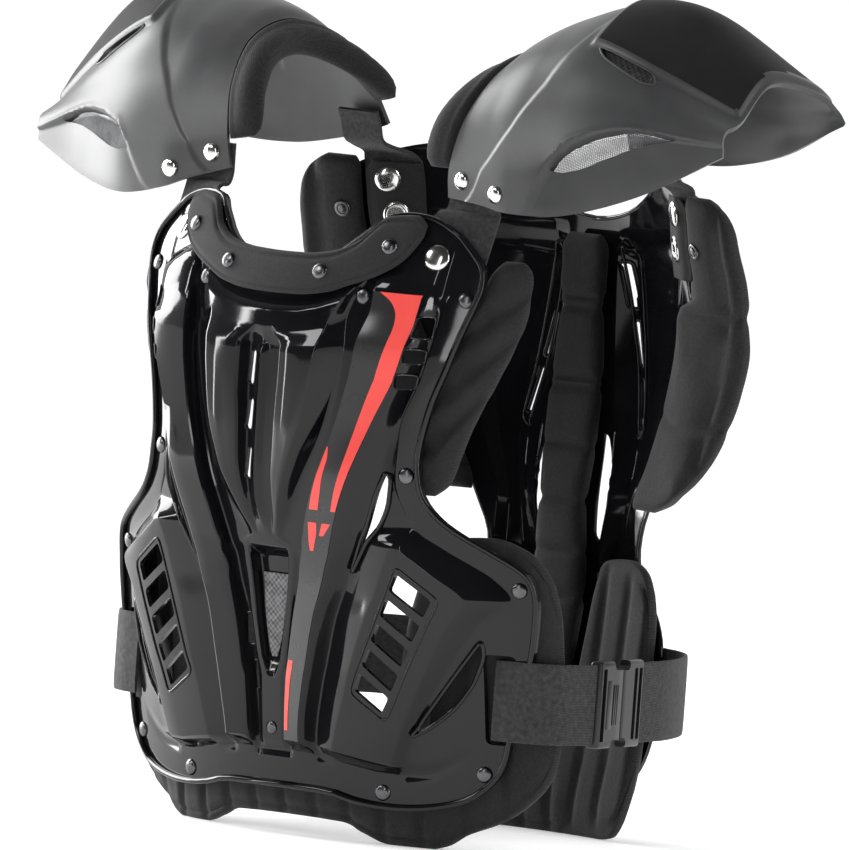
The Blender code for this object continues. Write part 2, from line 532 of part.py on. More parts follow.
def smooth_line(points, parts):
    out = []
    last = len(points) - 1
    for i in range(last):
        p0 = points[max(i - 1, 0)]
        p1 = points[i]
        p2 = points[i + 1]
        p3 = points[min(i + 2, last)]
        for k in range(parts):
            t = k / parts
            out.append(catmull(p0, p1, p2, p3, t))
    out.append(points[-1])
    return out


def catmull(p0, p1, p2, p3, t):
    a = 2.0 * p1
    b = p2 - p0
    c = 2.0 * p0 - 5.0 * p1 + 4.0 * p2 - p3
    d = 3.0 * p1 - p0 - 3.0 * p2 + p3
    return 0.5 * (a + b * t + c * t * t + d * t * t * t)


def offset_grid(grid, inset):
    rows = len(grid)
    cols = len(grid[0])
    out = []
    for r in range(rows):
        line = []
        for c in range(cols):
            along = grid[min(r + 1, rows - 1)][c] - grid[max(r - 1, 0)][c]
            across = grid[r][min(c + 1, cols - 1)] - grid[r][max(c - 1, 0)]
            normal = along.cross(across).normalized()
            line.append(grid[r][c] + normal * inset)
        out.append(line)
    return out


# Cup openings as (sideways, height) outlines, cut from the front
CUP_HOLES = [
    [(1.78, 4.99), (1.84, 4.99), (2.26, 4.79), (2.20, 4.72), (1.80, 4.90)],
    [(1.64, 4.26), (1.74, 4.37), (1.90, 4.45), (2.08, 4.47), (2.26, 4.46), (2.12, 4.36), (1.92, 4.29),
     (1.76, 4.26)],
]


def shoulder_cup(name, side):
    outer = cup_grid(side)
    inner = cup_grid(side, CUP_WALL)
    shell = slab(name, outer, inner, "satin")
    holes = bpy.data.collections.new(name + "_openings")
    CUTTERS.children.link(holes)
    for number, points in enumerate(CUP_HOLES):
        loops = []
        for y in (-0.3 * HAND, 0.75 * HAND):
            loops.append([cup_turn(Vector((x * HAND, y, z * HAND)), side) for x, z in points])
        item = loft("%s_hole_%d" % (name, number), loops, None, holes)
        item.hide_render = True
        item.display_type = "WIRE"
    cut_group(shell, holes)
    return shell


def cup_lining(name, side):
    outer = cup_grid(side, CUP_WALL + LINING_SEAT)
    inner = cup_grid(side, CUP_WALL + LINING_SEAT + LINING_THICK)
    outer = [row[1:9:2] for row in outer[3:-3:2]]
    inner = [row[1:9:2] for row in inner[3:-3:2]]
    return slab(name, outer, inner, "mesh")


def shoulder_roll(name, side):
    grid = cup_grid(side, 0.0)
    edge = [row[0] for row in grid][2:-1]
    inward = [(row[0] - row[1]).normalized() for row in grid][2:-1]
    loops = []
    middle = len(edge) - 1
    for number, (point, away) in enumerate(zip(edge, inward)):
        before = edge[max(number - 1, 0)]
        after = edge[min(number + 1, middle)]
        along = (after - before).normalized()
        up = along.cross(away).normalized()
        if up.dot(Vector((0.0, point.y - edge[middle // 2].y, point.z - 4.4 * HAND))) < 0.0:
            up = -up
        wide = 0.012 if 0 < number < middle else 0.008
        thick = 0.009 if 0 < number < middle else 0.006
        centre = point + away * (wide + RIVET_SEAT) - up * 0.004
        loop = []
        for k in range(8):
            angle = 2.0 * math.pi * k / 8
            loop.append(centre + away * (wide * math.cos(angle)) + up * (thick * math.sin(angle)))
        loops.append(loop)
    return loft(name, loops, "pad")


# Straps: a flat band lofted through centre points with side and face directions
def strap(name, points, wide, thick, side_way, kind="webbing"):
    loops = []
    last = len(points) - 1
    for number, point in enumerate(points):
        before = points[max(number - 1, 0)]
        after = points[min(number + 1, last)]
        along = (after - before).normalized()
        side = (side_way - along * side_way.dot(along)).normalized()
        face = along.cross(side).normalized()
        loop = []
        for a, b in ((-1, -1), (1, -1), (1, 1), (-1, 1)):
            loop.append(point + side * (a * wide / 2) + face * (b * thick / 2))
        loops.append(loop)
    return loft(name, loops, kind)


def block(name, centre, side, up, face, sizes, kind, chamfer=0.0):
    wide, tall, thick = sizes
    loops = []
    steps = ((-0.5, chamfer), (-0.5 + chamfer / thick, 0.0), (0.5 - chamfer / thick, 0.0), (0.5, chamfer))
    for place, inset in steps:
        loop = []
        for a, b in ((-1, -1), (1, -1), (1, 1), (-1, 1)):
            loop.append(centre + side * (a * (wide / 2 - inset)) + up * (b * (tall / 2 - inset)) + face * (place * thick))
        loops.append(loop)
    return loft(name, loops, kind)


# Rivets
def skin_of(item):
    depsgraph = bpy.context.evaluated_depsgraph_get()
    return BVHTree.FromObject(item, depsgraph)


def seat(tree, x, z, y_from):
    start = Vector((x, DEPTH_SHIFT + y_from * HAND, z))
    hit, normal, _, _ = tree.ray_cast(start, Vector((0.0, 1.0, 0.0)))
    return hit, normal


def eyelet(name, hit, normal, radius):
    side = normal.orthogonal().normalized()
    up = normal.cross(side).normalized()
    verts = []
    faces = []
    ring = ((0.55, 0.0), (1.0, 0.0), (0.92, 0.0016), (0.62, 0.0016))
    count = EYELET_SIDES
    for k in range(count):
        angle = 2.0 * math.pi * k / count
        spoke = side * math.cos(angle) + up * math.sin(angle)
        for share, height in ring:
            verts.append(hit + normal * (RIVET_SEAT + height) + spoke * (radius * share))
    for k in range(count):
        a = k * 4
        b = ((k + 1) % count) * 4
        for i in range(4):
            j = (i + 1) % 4
            faces.append((a + i, a + j, b + j, b + i))
    return solid(name, verts, faces, "nickel")


def rivet(name, hit, normal, radius, kind):
    height = radius * 0.42
    side = normal.orthogonal().normalized()
    up = normal.cross(side).normalized()
    loops = []
    for place, share in ((0.0, 1.0), (1.0, 0.66)):
        loop = []
        for k in range(RIVET_SIDES):
            angle = 2.0 * math.pi * k / RIVET_SIDES
            spoke = side * math.cos(angle) + up * math.sin(angle)
            loop.append(hit + normal * (RIVET_SEAT + height * place) + spoke * (radius * share))
        loops.append(loop)
    return loft(name, loops, kind)


# Rivet places, shares of HAND: name, sideways, height, size
FRONT_RIVETS = [
    ("rivet_shoulder", 1.02, 3.675, "big"), ("rivet_corner", 1.245, 3.43, "small"),
    ("rivet_neck", 0.635, 3.40, "small"), ("rivet_armhole", 0.990, 2.318, "small"),
    ("rivet_flange", 1.580, 1.66, "small"), ("rivet_band", 0.775, 0.33, "small"),
    ("rivet_hip", 1.38, 0.50, "small"),
]
COLLAR_RIVETS = [("rivet_collar_outer", 0.78, 3.72), ("rivet_collar_inner", 0.368, 3.53)]
CUP_RIVETS = [("rivet_cup_inner", 1.01, 4.14), ("rivet_cup_outer", 1.31, 4.05)]

# Side straps: sideways and depth shares of each bend
SIDE_HEIGHT = 0.97
STRAP_FRONT = [
    (1.44, 0.288), (1.50, 0.302), (1.57, 0.320), (1.64, 0.355), (1.70, 0.400), (1.775, 0.50), (1.80, 0.66),
    (1.80, 0.82),
]
STRAP_REAR = [(1.688, 1.3745), (1.62, 1.72), (1.48, 2.03), (1.30, 2.30), (1.12, 2.45), (0.98, 2.515), (0.86, 2.562)]
BUCKLE_FRONT = ((1.798, 0.8240), (1.745, 1.10))
BUCKLE_REAR = ((1.744, 1.106), (1.69, 1.37))
BUCKLE_TALL = 0.054
BUCKLE_THICK = 0.0095
# Slot for the side strap, cut through the flange: sideways and height shares
STRAP_SLOT = [(1.39, 0.69), (1.56, 0.69), (1.56, 1.25), (1.39, 1.25)]
# Shoulder straps: height, then the depth of the inner and outer edge; a depth
# of None means that the strap lies against the shell there
STRAP_SHOULDER = [
    (3.36, None, None), (3.50, None, None), (3.90, None, None),
    (3.95, 0.165, 0.225), (4.01, 0.198, 0.208), (4.08, 0.202, 0.182), (4.20, 0.202, 0.162),
]
STRAP_BACK = [
    (3.60, None, None), (3.72, None, None), (3.86, None, None), (3.98, None, None),
    (4.06, None, None), (4.12, 2.09, 1.99), (4.16, 1.90, 1.88), (4.20, 1.80, 1.80), (4.30, 1.762, 1.762),
    (4.38, 1.722, 1.722),
]
SHOULDER_EDGES = (0.88, 1.07, 1.26)
BACK_EDGES = (1.02, 1.19, 1.33)

KINDS = {
    "gloss": ((0.012, 0.012, 0.014), 0.16, 0.0),
    "satin": ((0.055, 0.056, 0.060), 0.42, 0.0),
    "pad": ((0.020, 0.020, 0.022), 0.90, 0.0),
    "mesh": ((0.030, 0.030, 0.032), 0.85, 0.0),
    "webbing": ((0.030, 0.030, 0.033), 0.80, 0.0),
    "buckle": ((0.015, 0.015, 0.017), 0.35, 0.0),
    "nickel": ((0.80, 0.79, 0.77), 0.22, 1.0),
    "gunmetal": ((0.22, 0.22, 0.23), 0.28, 1.0),
}


def side_strap(name, bends, side):
    points = [Vector((side * x * HAND, y * HAND + DEPTH_SHIFT, SIDE_HEIGHT * HAND)) for x, y in bends]
    return strap(name, points, SIDE_STRAP_TALL, STRAP_THICK, Vector((0.0, 0.0, 1.0)))


def side_buckle(name, ends, side, thick):
    start, end = [Vector((side * x * HAND, y * HAND + DEPTH_SHIFT, SIDE_HEIGHT * HAND)) for x, y in ends]
    along = (end - start).normalized()
    up = Vector((0.0, 0.0, 1.0))
    face = along.cross(up).normalized()
    sizes = ((end - start).length, BUCKLE_TALL, thick)
    return block(name, (start + end) / 2, along, up, face, sizes, "buckle", 0.0015)


def shoulder_strap(name, bends, edges, side, surface, seat_out):
    loops = []
    rows = []
    for z, inner, outer in bends:
        line = []
        for number, x in enumerate(edges):
            place = surface(side * x * HAND, z * HAND, seat_out)
            if inner is not None:
                share = number / (len(edges) - 1)
                place.y = (inner + (outer - inner) * share) * HAND + DEPTH_SHIFT
            line.append(place)
        rows.append(line)
    last = len(rows) - 1
    for number, line in enumerate(rows):
        before = rows[max(number - 1, 0)][0]
        after = rows[min(number + 1, last)][0]
        face = (line[-1] - line[0]).cross(after - before).normalized() * (STRAP_THICK / 2)
        loops.append([p - face for p in line] + [p + face for p in reversed(line)])
    return loft(name, loops, "webbing")


def main():
    global PARTS
    global CUTTERS
    clear()
    PARTS = collection("chest_protector")
    CUTTERS = collection("cutters")

    shell = front_shell()
    back_shell()
    behind = -(PLATE_WALL + FRONT_CLEAR)
    tab_seat = -(STRAP_THICK + 2.0 * BACK_CLEAR + TAB_CLEAR)
    strap_front_seat = behind - STRAP_THICK / 2 - FRONT_CLEAR
    strap_back_seat = -(BACK_CLEAR + STRAP_THICK / 2)
    cups = {}
    tabs = {}
    back_pads = {}
    for side, word in SIDES:
        pad("front_pad_upper_" + word, sided(UPPER_PAD, side), front_at, behind, PAD_THICK, "pad", 4, (3, 6))
        back_pads[side] = pad(
            "back_pad_" + word, sided(BACK_PAD, side), back_at, -BACK_CLEAR, PAD_THICK, "pad", 4, (4, 7))
        tabs[side] = pad("back_tab_" + word, sided(BACK_TAB, side), back_at, tab_seat, TAB_THICK, "pad", 4)
        cups[side] = shoulder_cup("shoulder_cup_" + word, side)
        cup_lining("shoulder_lining_" + word, side)
        shoulder_roll("shoulder_pad_" + word, side)
        side_strap("side_strap_front_" + word, STRAP_FRONT, side)
        side_strap("side_strap_rear_" + word, STRAP_REAR, side)
        side_buckle("buckle_socket_" + word, BUCKLE_FRONT, side, BUCKLE_THICK)
        side_buckle("buckle_prong_" + word, BUCKLE_REAR, side, BUCKLE_THICK * 0.8)
        shoulder_strap(
            "shoulder_strap_front_" + word, STRAP_SHOULDER, SHOULDER_EDGES, side, front_at, strap_front_seat)
        shoulder_strap(
            "shoulder_strap_rear_" + word, STRAP_BACK, BACK_EDGES, side, back_at, strap_back_seat)
    wide_pad("front_pad_lower", LOWER_PAD, front_at, behind, PAD_THICK, "pad", 4)
    pad("spine_pad", SPINE_PAD, back_at, -BACK_CLEAR, 0.015, "pad", 4, (4, 7, 10, 13))
    wide_pad("lumbar_pad", LUMBAR_PAD, back_at, -BACK_CLEAR, 0.017, "pad", 4)
    collar = wide_pad("collar_pad", COLLAR, front_at, COLLAR_SEAT, COLLAR_THICK, "pad", 3)

    bpy.context.view_layer.update()
    front_skin = skin_of(shell)
    collar_skin = skin_of(collar)
    hit, normal = seat(front_skin, 0.0, 0.66 * HAND, FAR_FRONT)
    rivet("rivet_centre", hit, normal, RIVET_SMALL * 0.8, "gunmetal")
    for side, word in SIDES:
        for name, x, z, size in FRONT_RIVETS:
            hit, normal = seat(front_skin, side * x * HAND, z * HAND, FAR_FRONT)
            radius = RIVET_BIG if size == "big" else RIVET_SMALL
            rivet("%s_%s" % (name, word), hit, normal, radius, "nickel" if size == "big" else "gunmetal")
        for name, x, z in COLLAR_RIVETS:
            hit, normal = seat(collar_skin, side * x * HAND, z * HAND, FAR_FRONT)
            rivet("%s_%s" % (name, word), hit, normal, RIVET_SMALL, "gunmetal")
        cup_skin = skin_of(cups[side])
        for name, x, z in CUP_RIVETS:
            place = cup_turn(Vector((x * HAND, 0.0, z * HAND)), side)
            hit, normal = seat(cup_skin, place.x, place.z, FAR_FRONT)
            rivet("%s_%s" % (name, word), hit, normal, RIVET_CUP, "nickel")
        tab_skin = skin_of(tabs[side])
        hit, normal = seat(tab_skin, side * 1.16 * HAND, 3.95 * HAND, FAR_BACK)
        rivet("rivet_tab_" + word, hit, normal, RIVET_BIG, "nickel")
        hit, normal = seat(tab_skin, side * 1.13 * HAND, 3.73 * HAND, FAR_BACK)
        eyelet("eyelet_" + word, hit, normal, EYELET)
        hit, normal = seat(skin_of(back_pads[side]), side * 1.42 * HAND, 3.74 * HAND, FAR_BACK)
        rivet("rivet_back_pad_" + word, hit, normal, RIVET_SMALL, "gunmetal")

    # The cups roll by different amounts, so the whole part moves sideways to centre its bounds
    for item in bpy.data.objects:
        item.location.x += SIDE_SHIFT


main()
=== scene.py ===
"""Chest protector: moulded shells, quilted pads, shoulder cups, webbing, rivets and studio."""
import math

import bpy
import numpy as np
from mathutils import Matrix, Vector
from mathutils.bvhtree import BVHTree
from mathutils.kdtree import KDTree


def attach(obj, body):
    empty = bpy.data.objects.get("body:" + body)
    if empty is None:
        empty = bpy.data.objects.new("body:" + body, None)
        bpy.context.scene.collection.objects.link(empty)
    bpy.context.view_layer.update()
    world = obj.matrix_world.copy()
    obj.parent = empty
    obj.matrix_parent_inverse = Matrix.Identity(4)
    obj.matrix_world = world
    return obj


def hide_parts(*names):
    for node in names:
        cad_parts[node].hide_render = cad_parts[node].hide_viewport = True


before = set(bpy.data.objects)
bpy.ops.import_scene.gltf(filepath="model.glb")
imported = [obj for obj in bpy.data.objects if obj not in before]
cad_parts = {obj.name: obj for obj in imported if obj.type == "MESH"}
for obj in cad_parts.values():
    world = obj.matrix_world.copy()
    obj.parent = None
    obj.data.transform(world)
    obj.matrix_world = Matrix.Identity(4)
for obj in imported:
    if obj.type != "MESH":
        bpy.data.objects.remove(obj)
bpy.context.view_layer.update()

# Driving sizes, in metres, the same as the solids'
HAND = 0.100
DEPTH_SHIFT = -0.1176
SIDE_SHIFT = 0.0042
PLATE_WALL = 0.0032
CUP_WALL = 0.0030
PAD_THICK = 0.016
FRONT_ROUND = 0.50
FRONT_CLEAR = 0.0010
BACK_CLEAR = 0.0008
SHOULDER_BEND = 1.20
SHOULDER_FALL = 0.40
CUP_ROLL = math.radians(6.5)
COLLAR_SEAT = 0.0121
COLLAR_THICK = 0.0085
TAB_CLEAR = 0.0013
STRAP_THICK = 0.0024
SIDE_STRAP_TALL = 0.050
SIDE_HEIGHT = 0.97
RIVET_BIG = 0.0085
RIVET_SMALL = 0.0052
RIVET_CUP = 0.0058
CREASE_ROUND = 0.010
CREASE_DEPTH = 1.45
KEEL_RISE = 0.04
ROW_STEP = 0.025
BADGE_THICK = 0.0010
FILM_THICK = 0.00022
FILM_LIFT = 0.0003
CORAL_LIFT = 0.00055
LINER_THICK = 0.0016
WIRE_THICK = 0.0007
TAB_THICK = 0.0030
SPINE_THICK = 0.015
LUMBAR_THICK = 0.017
EDGE_BEAD = 0.0019
OPENING_BEAD = 0.0014
FRAME_BEAD = 0.0009
SLOT_BEAD = 0.0006
BACK_SLOT_BEAD = 0.0018
BACK_FRAME_BEAD = 0.0011
CUP_SLOT_BEAD = 0.0008
ROLL_HALF_WIDE = 0.0118
ROLL_HALF_TALL = 0.0088
ROLL_DROP = 0.004
CAP_SINK = 0.0003
SKIN_REACH = 0.6
SIDES = ((1, "left"), (-1, "right"))


# Working with Blender's tools
def pick(item):
    bpy.ops.object.select_all(action="DESELECT")
    item.select_set(True)
    bpy.context.view_layer.objects.active = item


def apply_step(item, kind, **settings):
    pick(item)
    step = item.modifiers.new(kind.title(), kind)
    for key, value in settings.items():
        setattr(step, key, value)
    bpy.ops.object.modifier_apply(modifier=step.name)
    return item


def edit(item, action):
    pick(item)
    bpy.ops.object.mode_set(mode="EDIT")
    bpy.ops.mesh.select_all(action="SELECT")
    action()
    bpy.ops.object.mode_set(mode="OBJECT")
    return item


def close_seams(item, gap=0.00002):
    def action():
        bpy.ops.mesh.remove_doubles(threshold=gap)
        bpy.ops.mesh.normals_make_consistent(inside=False)
    return edit(item, action)


def soften(item, degrees=40):
    pick(item)
    bpy.ops.object.shade_smooth_by_angle(angle=math.radians(degrees))
    return item


def weld(name, items):
    bpy.ops.object.select_all(action="DESELECT")
    for item in items:
        item.select_set(True)
    bpy.context.view_layer.objects.active = items[0]
    bpy.ops.object.join()
    items[0].name = name
    return items[0]


def grid_piece(name, places):
    """A grid primitive whose points are moved to places, an array of rows x columns x 3."""
    places = np.asarray(places, float)
    rows, cols = places.shape[:2]
    bpy.ops.object.select_all(action="DESELECT")
    bpy.ops.mesh.primitive_grid_add(x_subdivisions=cols - 1, y_subdivisions=rows - 1, size=2.0)
    item = bpy.context.active_object
    item.name = name
    start = np.empty(len(item.data.vertices) * 3)
    item.data.vertices.foreach_get("co", start)
    start = start.reshape(-1, 3)
    col = np.rint((start[:, 0] + 1.0) / 2.0 * (cols - 1)).astype(int)
    row = np.rint((start[:, 1] + 1.0) / 2.0 * (rows - 1)).astype(int)
    item.data.vertices.foreach_set("co", places[row, col].ravel())
    item.data.update()
    return item


def tube_piece(name, loops):
    """A closed piece through loops of points, each end drawn together at its middle."""
    loops = np.asarray(loops, float)
    loops = np.concatenate([loops, loops[:, :1]], axis=1)
    first = np.repeat(loops[:1].mean(axis=1, keepdims=True), loops.shape[1], axis=1)
    last = np.repeat(loops[-1:].mean(axis=1, keepdims=True), loops.shape[1], axis=1)
    item = grid_piece(name, np.concatenate([first, loops, last]))
    return close_seams(item)


def rim_of(face):
    """The points round a grid's edge, each once."""
    return np.concatenate([face[0], face[1:, -1], face[-1, -2::-1], face[-2:0:-1, 0]])


def slab_piece(name, places, wall):
    """A sheet given an even wall along the depth, which a height field can take without folding."""
    outer = np.asarray(places, float)
    inner = outer + np.array((0.0, wall, 0.0))
    rims = [np.concatenate([rim_of(face), face[:1, 0]]) for face in (outer, inner)]
    faces = [grid_piece(name, outer), grid_piece(name + "_inner", inner), grid_piece(name + "_rim", rims)]
    return close_seams(weld(name, faces))


def bead(name, points, radius, sides=2):
    """A round bead along a closed run of points."""
    line = bpy.data.curves.new(name, "CURVE")
    line.dimensions = "3D"
    line.bevel_depth = radius
    line.bevel_resolution = sides
    path = line.splines.new("POLY")
    path.points.add(len(points) - 1)
    for spot, point in zip(path.points, points):
        spot.co = (*point, 1.0)
    path.use_cyclic_u = True
    item = bpy.data.objects.new(name, line)
    bpy.context.scene.collection.objects.link(item)
    pick(item)
    bpy.ops.object.convert(target="MESH")
    return bpy.context.active_object


def punch(name, outlines, y_low, y_high):
    """Upright prisms through flat outlines of (x, z), from one depth to the other."""
    flat = bpy.data.curves.new(name, "CURVE")
    flat.dimensions = "2D"
    flat.fill_mode = "BOTH"
    flat.extrude = (y_high - y_low) / 2.0
    for outline in outlines:
        path = flat.splines.new("POLY")
        path.points.add(len(outline) - 1)
        for spot, (x, z) in zip(path.points, outline):
            spot.co = (x, z, 0.0, 1.0)
        path.use_cyclic_u = True
    item = bpy.data.objects.new(name, flat)
    bpy.context.scene.collection.objects.link(item)
    pick(item)
    bpy.ops.object.convert(target="MESH")
    item = bpy.context.active_object
    stand = Matrix(((1, 0, 0, 0), (0, 0, -1, (y_low + y_high) / 2.0), (0, 1, 0, 0), (0, 0, 0, 1)))
    item.data.transform(stand)
    return close_seams(item)


def carve(item, cutter, operation="DIFFERENCE"):
    apply_step(item, "BOOLEAN", operation=operation, solver="EXACT", object=cutter)
    bpy.data.objects.remove(cutter, do_unlink=True)
    return item


def settle(item, finish, nodes=()):
    """Gives the piece its finish and its frame body, and hides the solids that it stands for."""
    item.data.materials.clear()
    item.data.materials.append(finish)
    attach(item, "root")
    if nodes:
        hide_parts(*nodes)
    return item


# Smooth readers for the tables
def smooth_curve(keys, values):
    """A curve through the values that never overshoots them."""
    keys = np.asarray(keys, float)
    values = np.asarray(values, float)
    step = np.diff(keys)
    rise = np.diff(values) / step
    slope = np.zeros(len(keys))
    slope[0] = rise[0]
    slope[-1] = rise[-1]
    for i in range(1, len(keys) - 1):
        if rise[i - 1] * rise[i] > 0.0:
            before = 2.0 * step[i] + step[i - 1]
            after = step[i] + 2.0 * step[i - 1]
            slope[i] = (before + after) / (before / rise[i - 1] + after / rise[i])

    def at(place):
        place = np.clip(np.asarray(place, float), keys[0], keys[-1])
        i = np.clip(np.searchsorted(keys, place, side="right") - 1, 0, len(keys) - 2)
        t = (place - keys[i]) / step[i]
        low = (1.0 + 2.0 * t) * (1.0 - t) ** 2 * values[i] + t * (1.0 - t) ** 2 * step[i] * slope[i]
        high = t * t * (3.0 - 2.0 * t) * values[i + 1] + t * t * (t - 1.0) * step[i] * slope[i + 1]
        return low + high
    return at


def table_curve(table, column=1):
    rows = sorted(table)
    return smooth_curve([row[0] for row in rows], [row[column] for row in rows])


def ramp(place, low, high):
    share = np.clip((np.asarray(place, float) - low) / (high - low), 0.0, 1.0)
    return share * share * (3.0 - 2.0 * share)


def mirrored(points):
    return [(-x, z) for x, z in reversed(points) if x > 1e-9] + list(points)


def on_side(points, side):
    points = [(side * x, z) for x, z in points]
    return points if side > 0 else points[::-1]


def rounded(points, reach, parts=3):
    """The outline with each corner turned into a short arc."""
    out = []
    count = len(points)
    for i, corner in enumerate(points):
        corner = np.array(corner, float)
        before = np.array(points[i - 1], float) - corner
        after = np.array(points[(i + 1) % count], float) - corner
        near = min(reach, 0.45 * np.linalg.norm(before), 0.45 * np.linalg.norm(after))
        start = corner + before / np.linalg.norm(before) * near
        end = corner + after / np.linalg.norm(after) * near
        for k in range(parts + 1):
            t = k / parts
            out.append(tuple((1 - t) ** 2 * start + 2 * t * (1 - t) * corner + t * t * end))
    return out


def finer(points, step):
    """The outline with points added so that none lie further apart than step."""
    out = []
    count = len(points)
    for i in range(count):
        a = np.array(points[i], float)
        b = np.array(points[(i + 1) % count], float)
        parts = max(1, int(math.ceil(np.linalg.norm(b - a) / step)))
        for k in range(parts):
            out.append(tuple(a + (b - a) * k / parts))
    return out


def flowing(points, parts=4, closed=True):
    """A smooth line through the points."""
    points = [np.array(p, float) for p in points]
    count = len(points)
    out = []
    for i in range(count if closed else count - 1):
        if closed:
            p0, p1, p2, p3 = (points[(i + k) % count] for k in (-1, 0, 1, 2))
        else:
            p0, p1, p2, p3 = (points[min(max(i + k, 0), count - 1)] for k in (-1, 0, 1, 2))
        for k in range(parts):
            t = k / parts
            curve = 2.0 * p1 + (p2 - p0) * t
            curve = curve + (2.0 * p0 - 5.0 * p1 + 4.0 * p2 - p3) * t * t
            curve = curve + (3.0 * p1 - p0 - 3.0 * p2 + p3) * t * t * t
            out.append(tuple(0.5 * curve))
    if not closed:
        out.append(tuple(points[-1]))
    return out


# Body lines, shares of HAND: height and depth, then for the back its roundness too
FRONT_LINE = [
    (-0.20, 0.02), (0.00, 0.01), (0.33, -0.026), (0.67, -0.075), (1.65, -0.21), (2.32, -0.36),
    (3.00, -0.37), (3.42, -0.33), (3.67, -0.26), (4.00, -0.12), (4.40, 0.05),
]
BACK_LINE = [
    (0.20, 2.53, 0.20), (0.60, 2.58, 0.20), (1.10, 2.63, 0.21), (1.60, 2.68, 0.22), (2.00, 2.66, 0.24),
    (2.40, 2.69, 0.25), (3.00, 2.72, 0.29), (3.55, 2.71, 0.36), (3.80, 2.69, 0.40), (4.40, 2.58, 0.42),
]
FRONT_CURVE = table_curve(FRONT_LINE)
BACK_CURVE = table_curve(BACK_LINE, 1)
BACK_BEND = table_curve(BACK_LINE, 2)


def stacked(x, y, z):
    x, y, z = np.broadcast_arrays(x, y, z)
    return np.stack([x + SIDE_SHIFT, y + DEPTH_SHIFT, z], axis=-1)


def front_at(x, z, out=0.0):
    x = np.asarray(x, float)
    z = np.asarray(z, float)
    return stacked(x, FRONT_CURVE(z / HAND) * HAND + x * x / FRONT_ROUND - out, z)


def back_at(x, z, out=0.0):
    x = np.asarray(x, float)
    z = np.asarray(z, float)
    share = np.abs(x) / HAND
    turn = np.minimum(share, SHOULDER_BEND) ** 2 + SHOULDER_FALL * np.maximum(0.0, share - SHOULDER_BEND)
    depth = (BACK_CURVE(z / HAND) - BACK_BEND(z / HAND) * turn) * HAND
    return stacked(x, depth + out, z)


# Front shell relief: height, then the sideways place of each crease line from keel to flange
FRONT_X = [
    (4.00, 0.00, 0.04, 0.12, 0.14, 0.62, 0.67, 0.75, 0.77, 1.04, 1.08, 1.11, 1.14, 1.17, 1.21, 1.40),
    (3.34, 0.00, 0.04, 0.12, 0.14, 0.60, 0.66, 0.74, 0.76, 1.05, 1.08, 1.10, 1.12, 1.14, 1.16, 1.36),
    (3.25, 0.00, 0.03, 0.05, 0.07, 0.54, 0.57, 0.70, 0.73, 1.05, 1.08, 1.10, 1.11, 1.12, 1.13, 1.34),
    (3.16, 0.00, 0.03, 0.06, 0.08, 0.47, 0.54, 0.70, 0.73, 1.04, 1.07, 1.09, 1.10, 1.11, 1.12, 1.32),
    (3.04, 0.00, 0.04, 0.13, 0.17, 0.44, 0.55, 0.66, 0.69, 1.02, 1.05, 1.06, 1.07, 1.08, 1.09, 1.28),
    (2.90, 0.00, 0.04, 0.13, 0.17, 0.42, 0.53, 0.63, 0.66, 0.97, 1.00, 1.01, 1.02, 1.03, 1.04, 1.24),
    (2.60, 0.00, 0.04, 0.12, 0.155, 0.37, 0.46, 0.56, 0.59, 0.84, 0.89, 0.91, 0.92, 0.93, 0.94, 1.15),
    (2.30, 0.00, 0.04, 0.11, 0.14, 0.27, 0.34, 0.46, 0.49, 0.73, 0.82, 0.88, 0.90, 0.91, 0.93, 1.14),
    (2.00, 0.00, 0.04, 0.08, 0.105, 0.15, 0.20, 0.36, 0.39, 0.62, 0.72, 1.00, 1.01, 1.02, 1.03, 1.30),
    (1.86, 0.00, 0.03, 0.06, 0.08, 0.10, 0.14, 0.32, 0.35, 0.575, 0.67, 0.93, 1.00, 1.10, 1.21, 1.54),
    (1.79, 0.00, 0.14, 0.16, 0.18, 0.20, 0.23, 0.30, 0.33, 0.555, 0.64, 0.90, 1.09, 1.22, 1.33, 1.66),
    (1.72, 0.00, 0.135, 0.155, 0.18, 0.20, 0.23, 0.28, 0.31, 0.53, 0.61, 0.87, 1.19, 1.33, 1.44, 1.72),
    (1.58, 0.00, 0.12, 0.14, 0.16, 0.18, 0.21, 0.25, 0.28, 0.49, 0.56, 0.82, 1.37, 1.49, 1.54, 1.74),
    (1.40, 0.00, 0.10, 0.12, 0.14, 0.16, 0.18, 0.21, 0.24, 0.43, 0.49, 0.74, 1.27, 1.38, 1.52, 1.74),
    (1.10, 0.00, 0.05, 0.07, 0.09, 0.11, 0.14, 0.16, 0.19, 0.37, 0.42, 0.64, 1.12, 1.19, 1.47, 1.72),
    (0.97, 0.00, 0.02, 0.04, 0.06, 0.08, 0.12, 0.145, 0.17, 0.345, 0.39, 0.60, 1.05, 1.11, 1.44, 1.70),
    (0.60, 0.00, 0.02, 0.04, 0.06, 0.08, 0.11, 0.13, 0.155, 0.30, 0.34, 0.50, 0.90, 0.95, 1.35, 1.66),
    (0.53, 0.00, 0.02, 0.04, 0.06, 0.08, 0.11, 0.13, 0.155, 0.30, 0.34, 0.49, 0.88, 0.93, 1.33, 1.62),
    (0.47, 0.00, 0.02, 0.04, 0.06, 0.08, 0.11, 0.13, 0.155, 0.30, 0.34, 0.49, 0.88, 0.93, 1.30, 1.60),
    (0.20, 0.00, 0.02, 0.04, 0.06, 0.08, 0.11, 0.13, 0.155, 0.30, 0.34, 0.49, 0.88, 0.93, 1.30, 1.60),
]
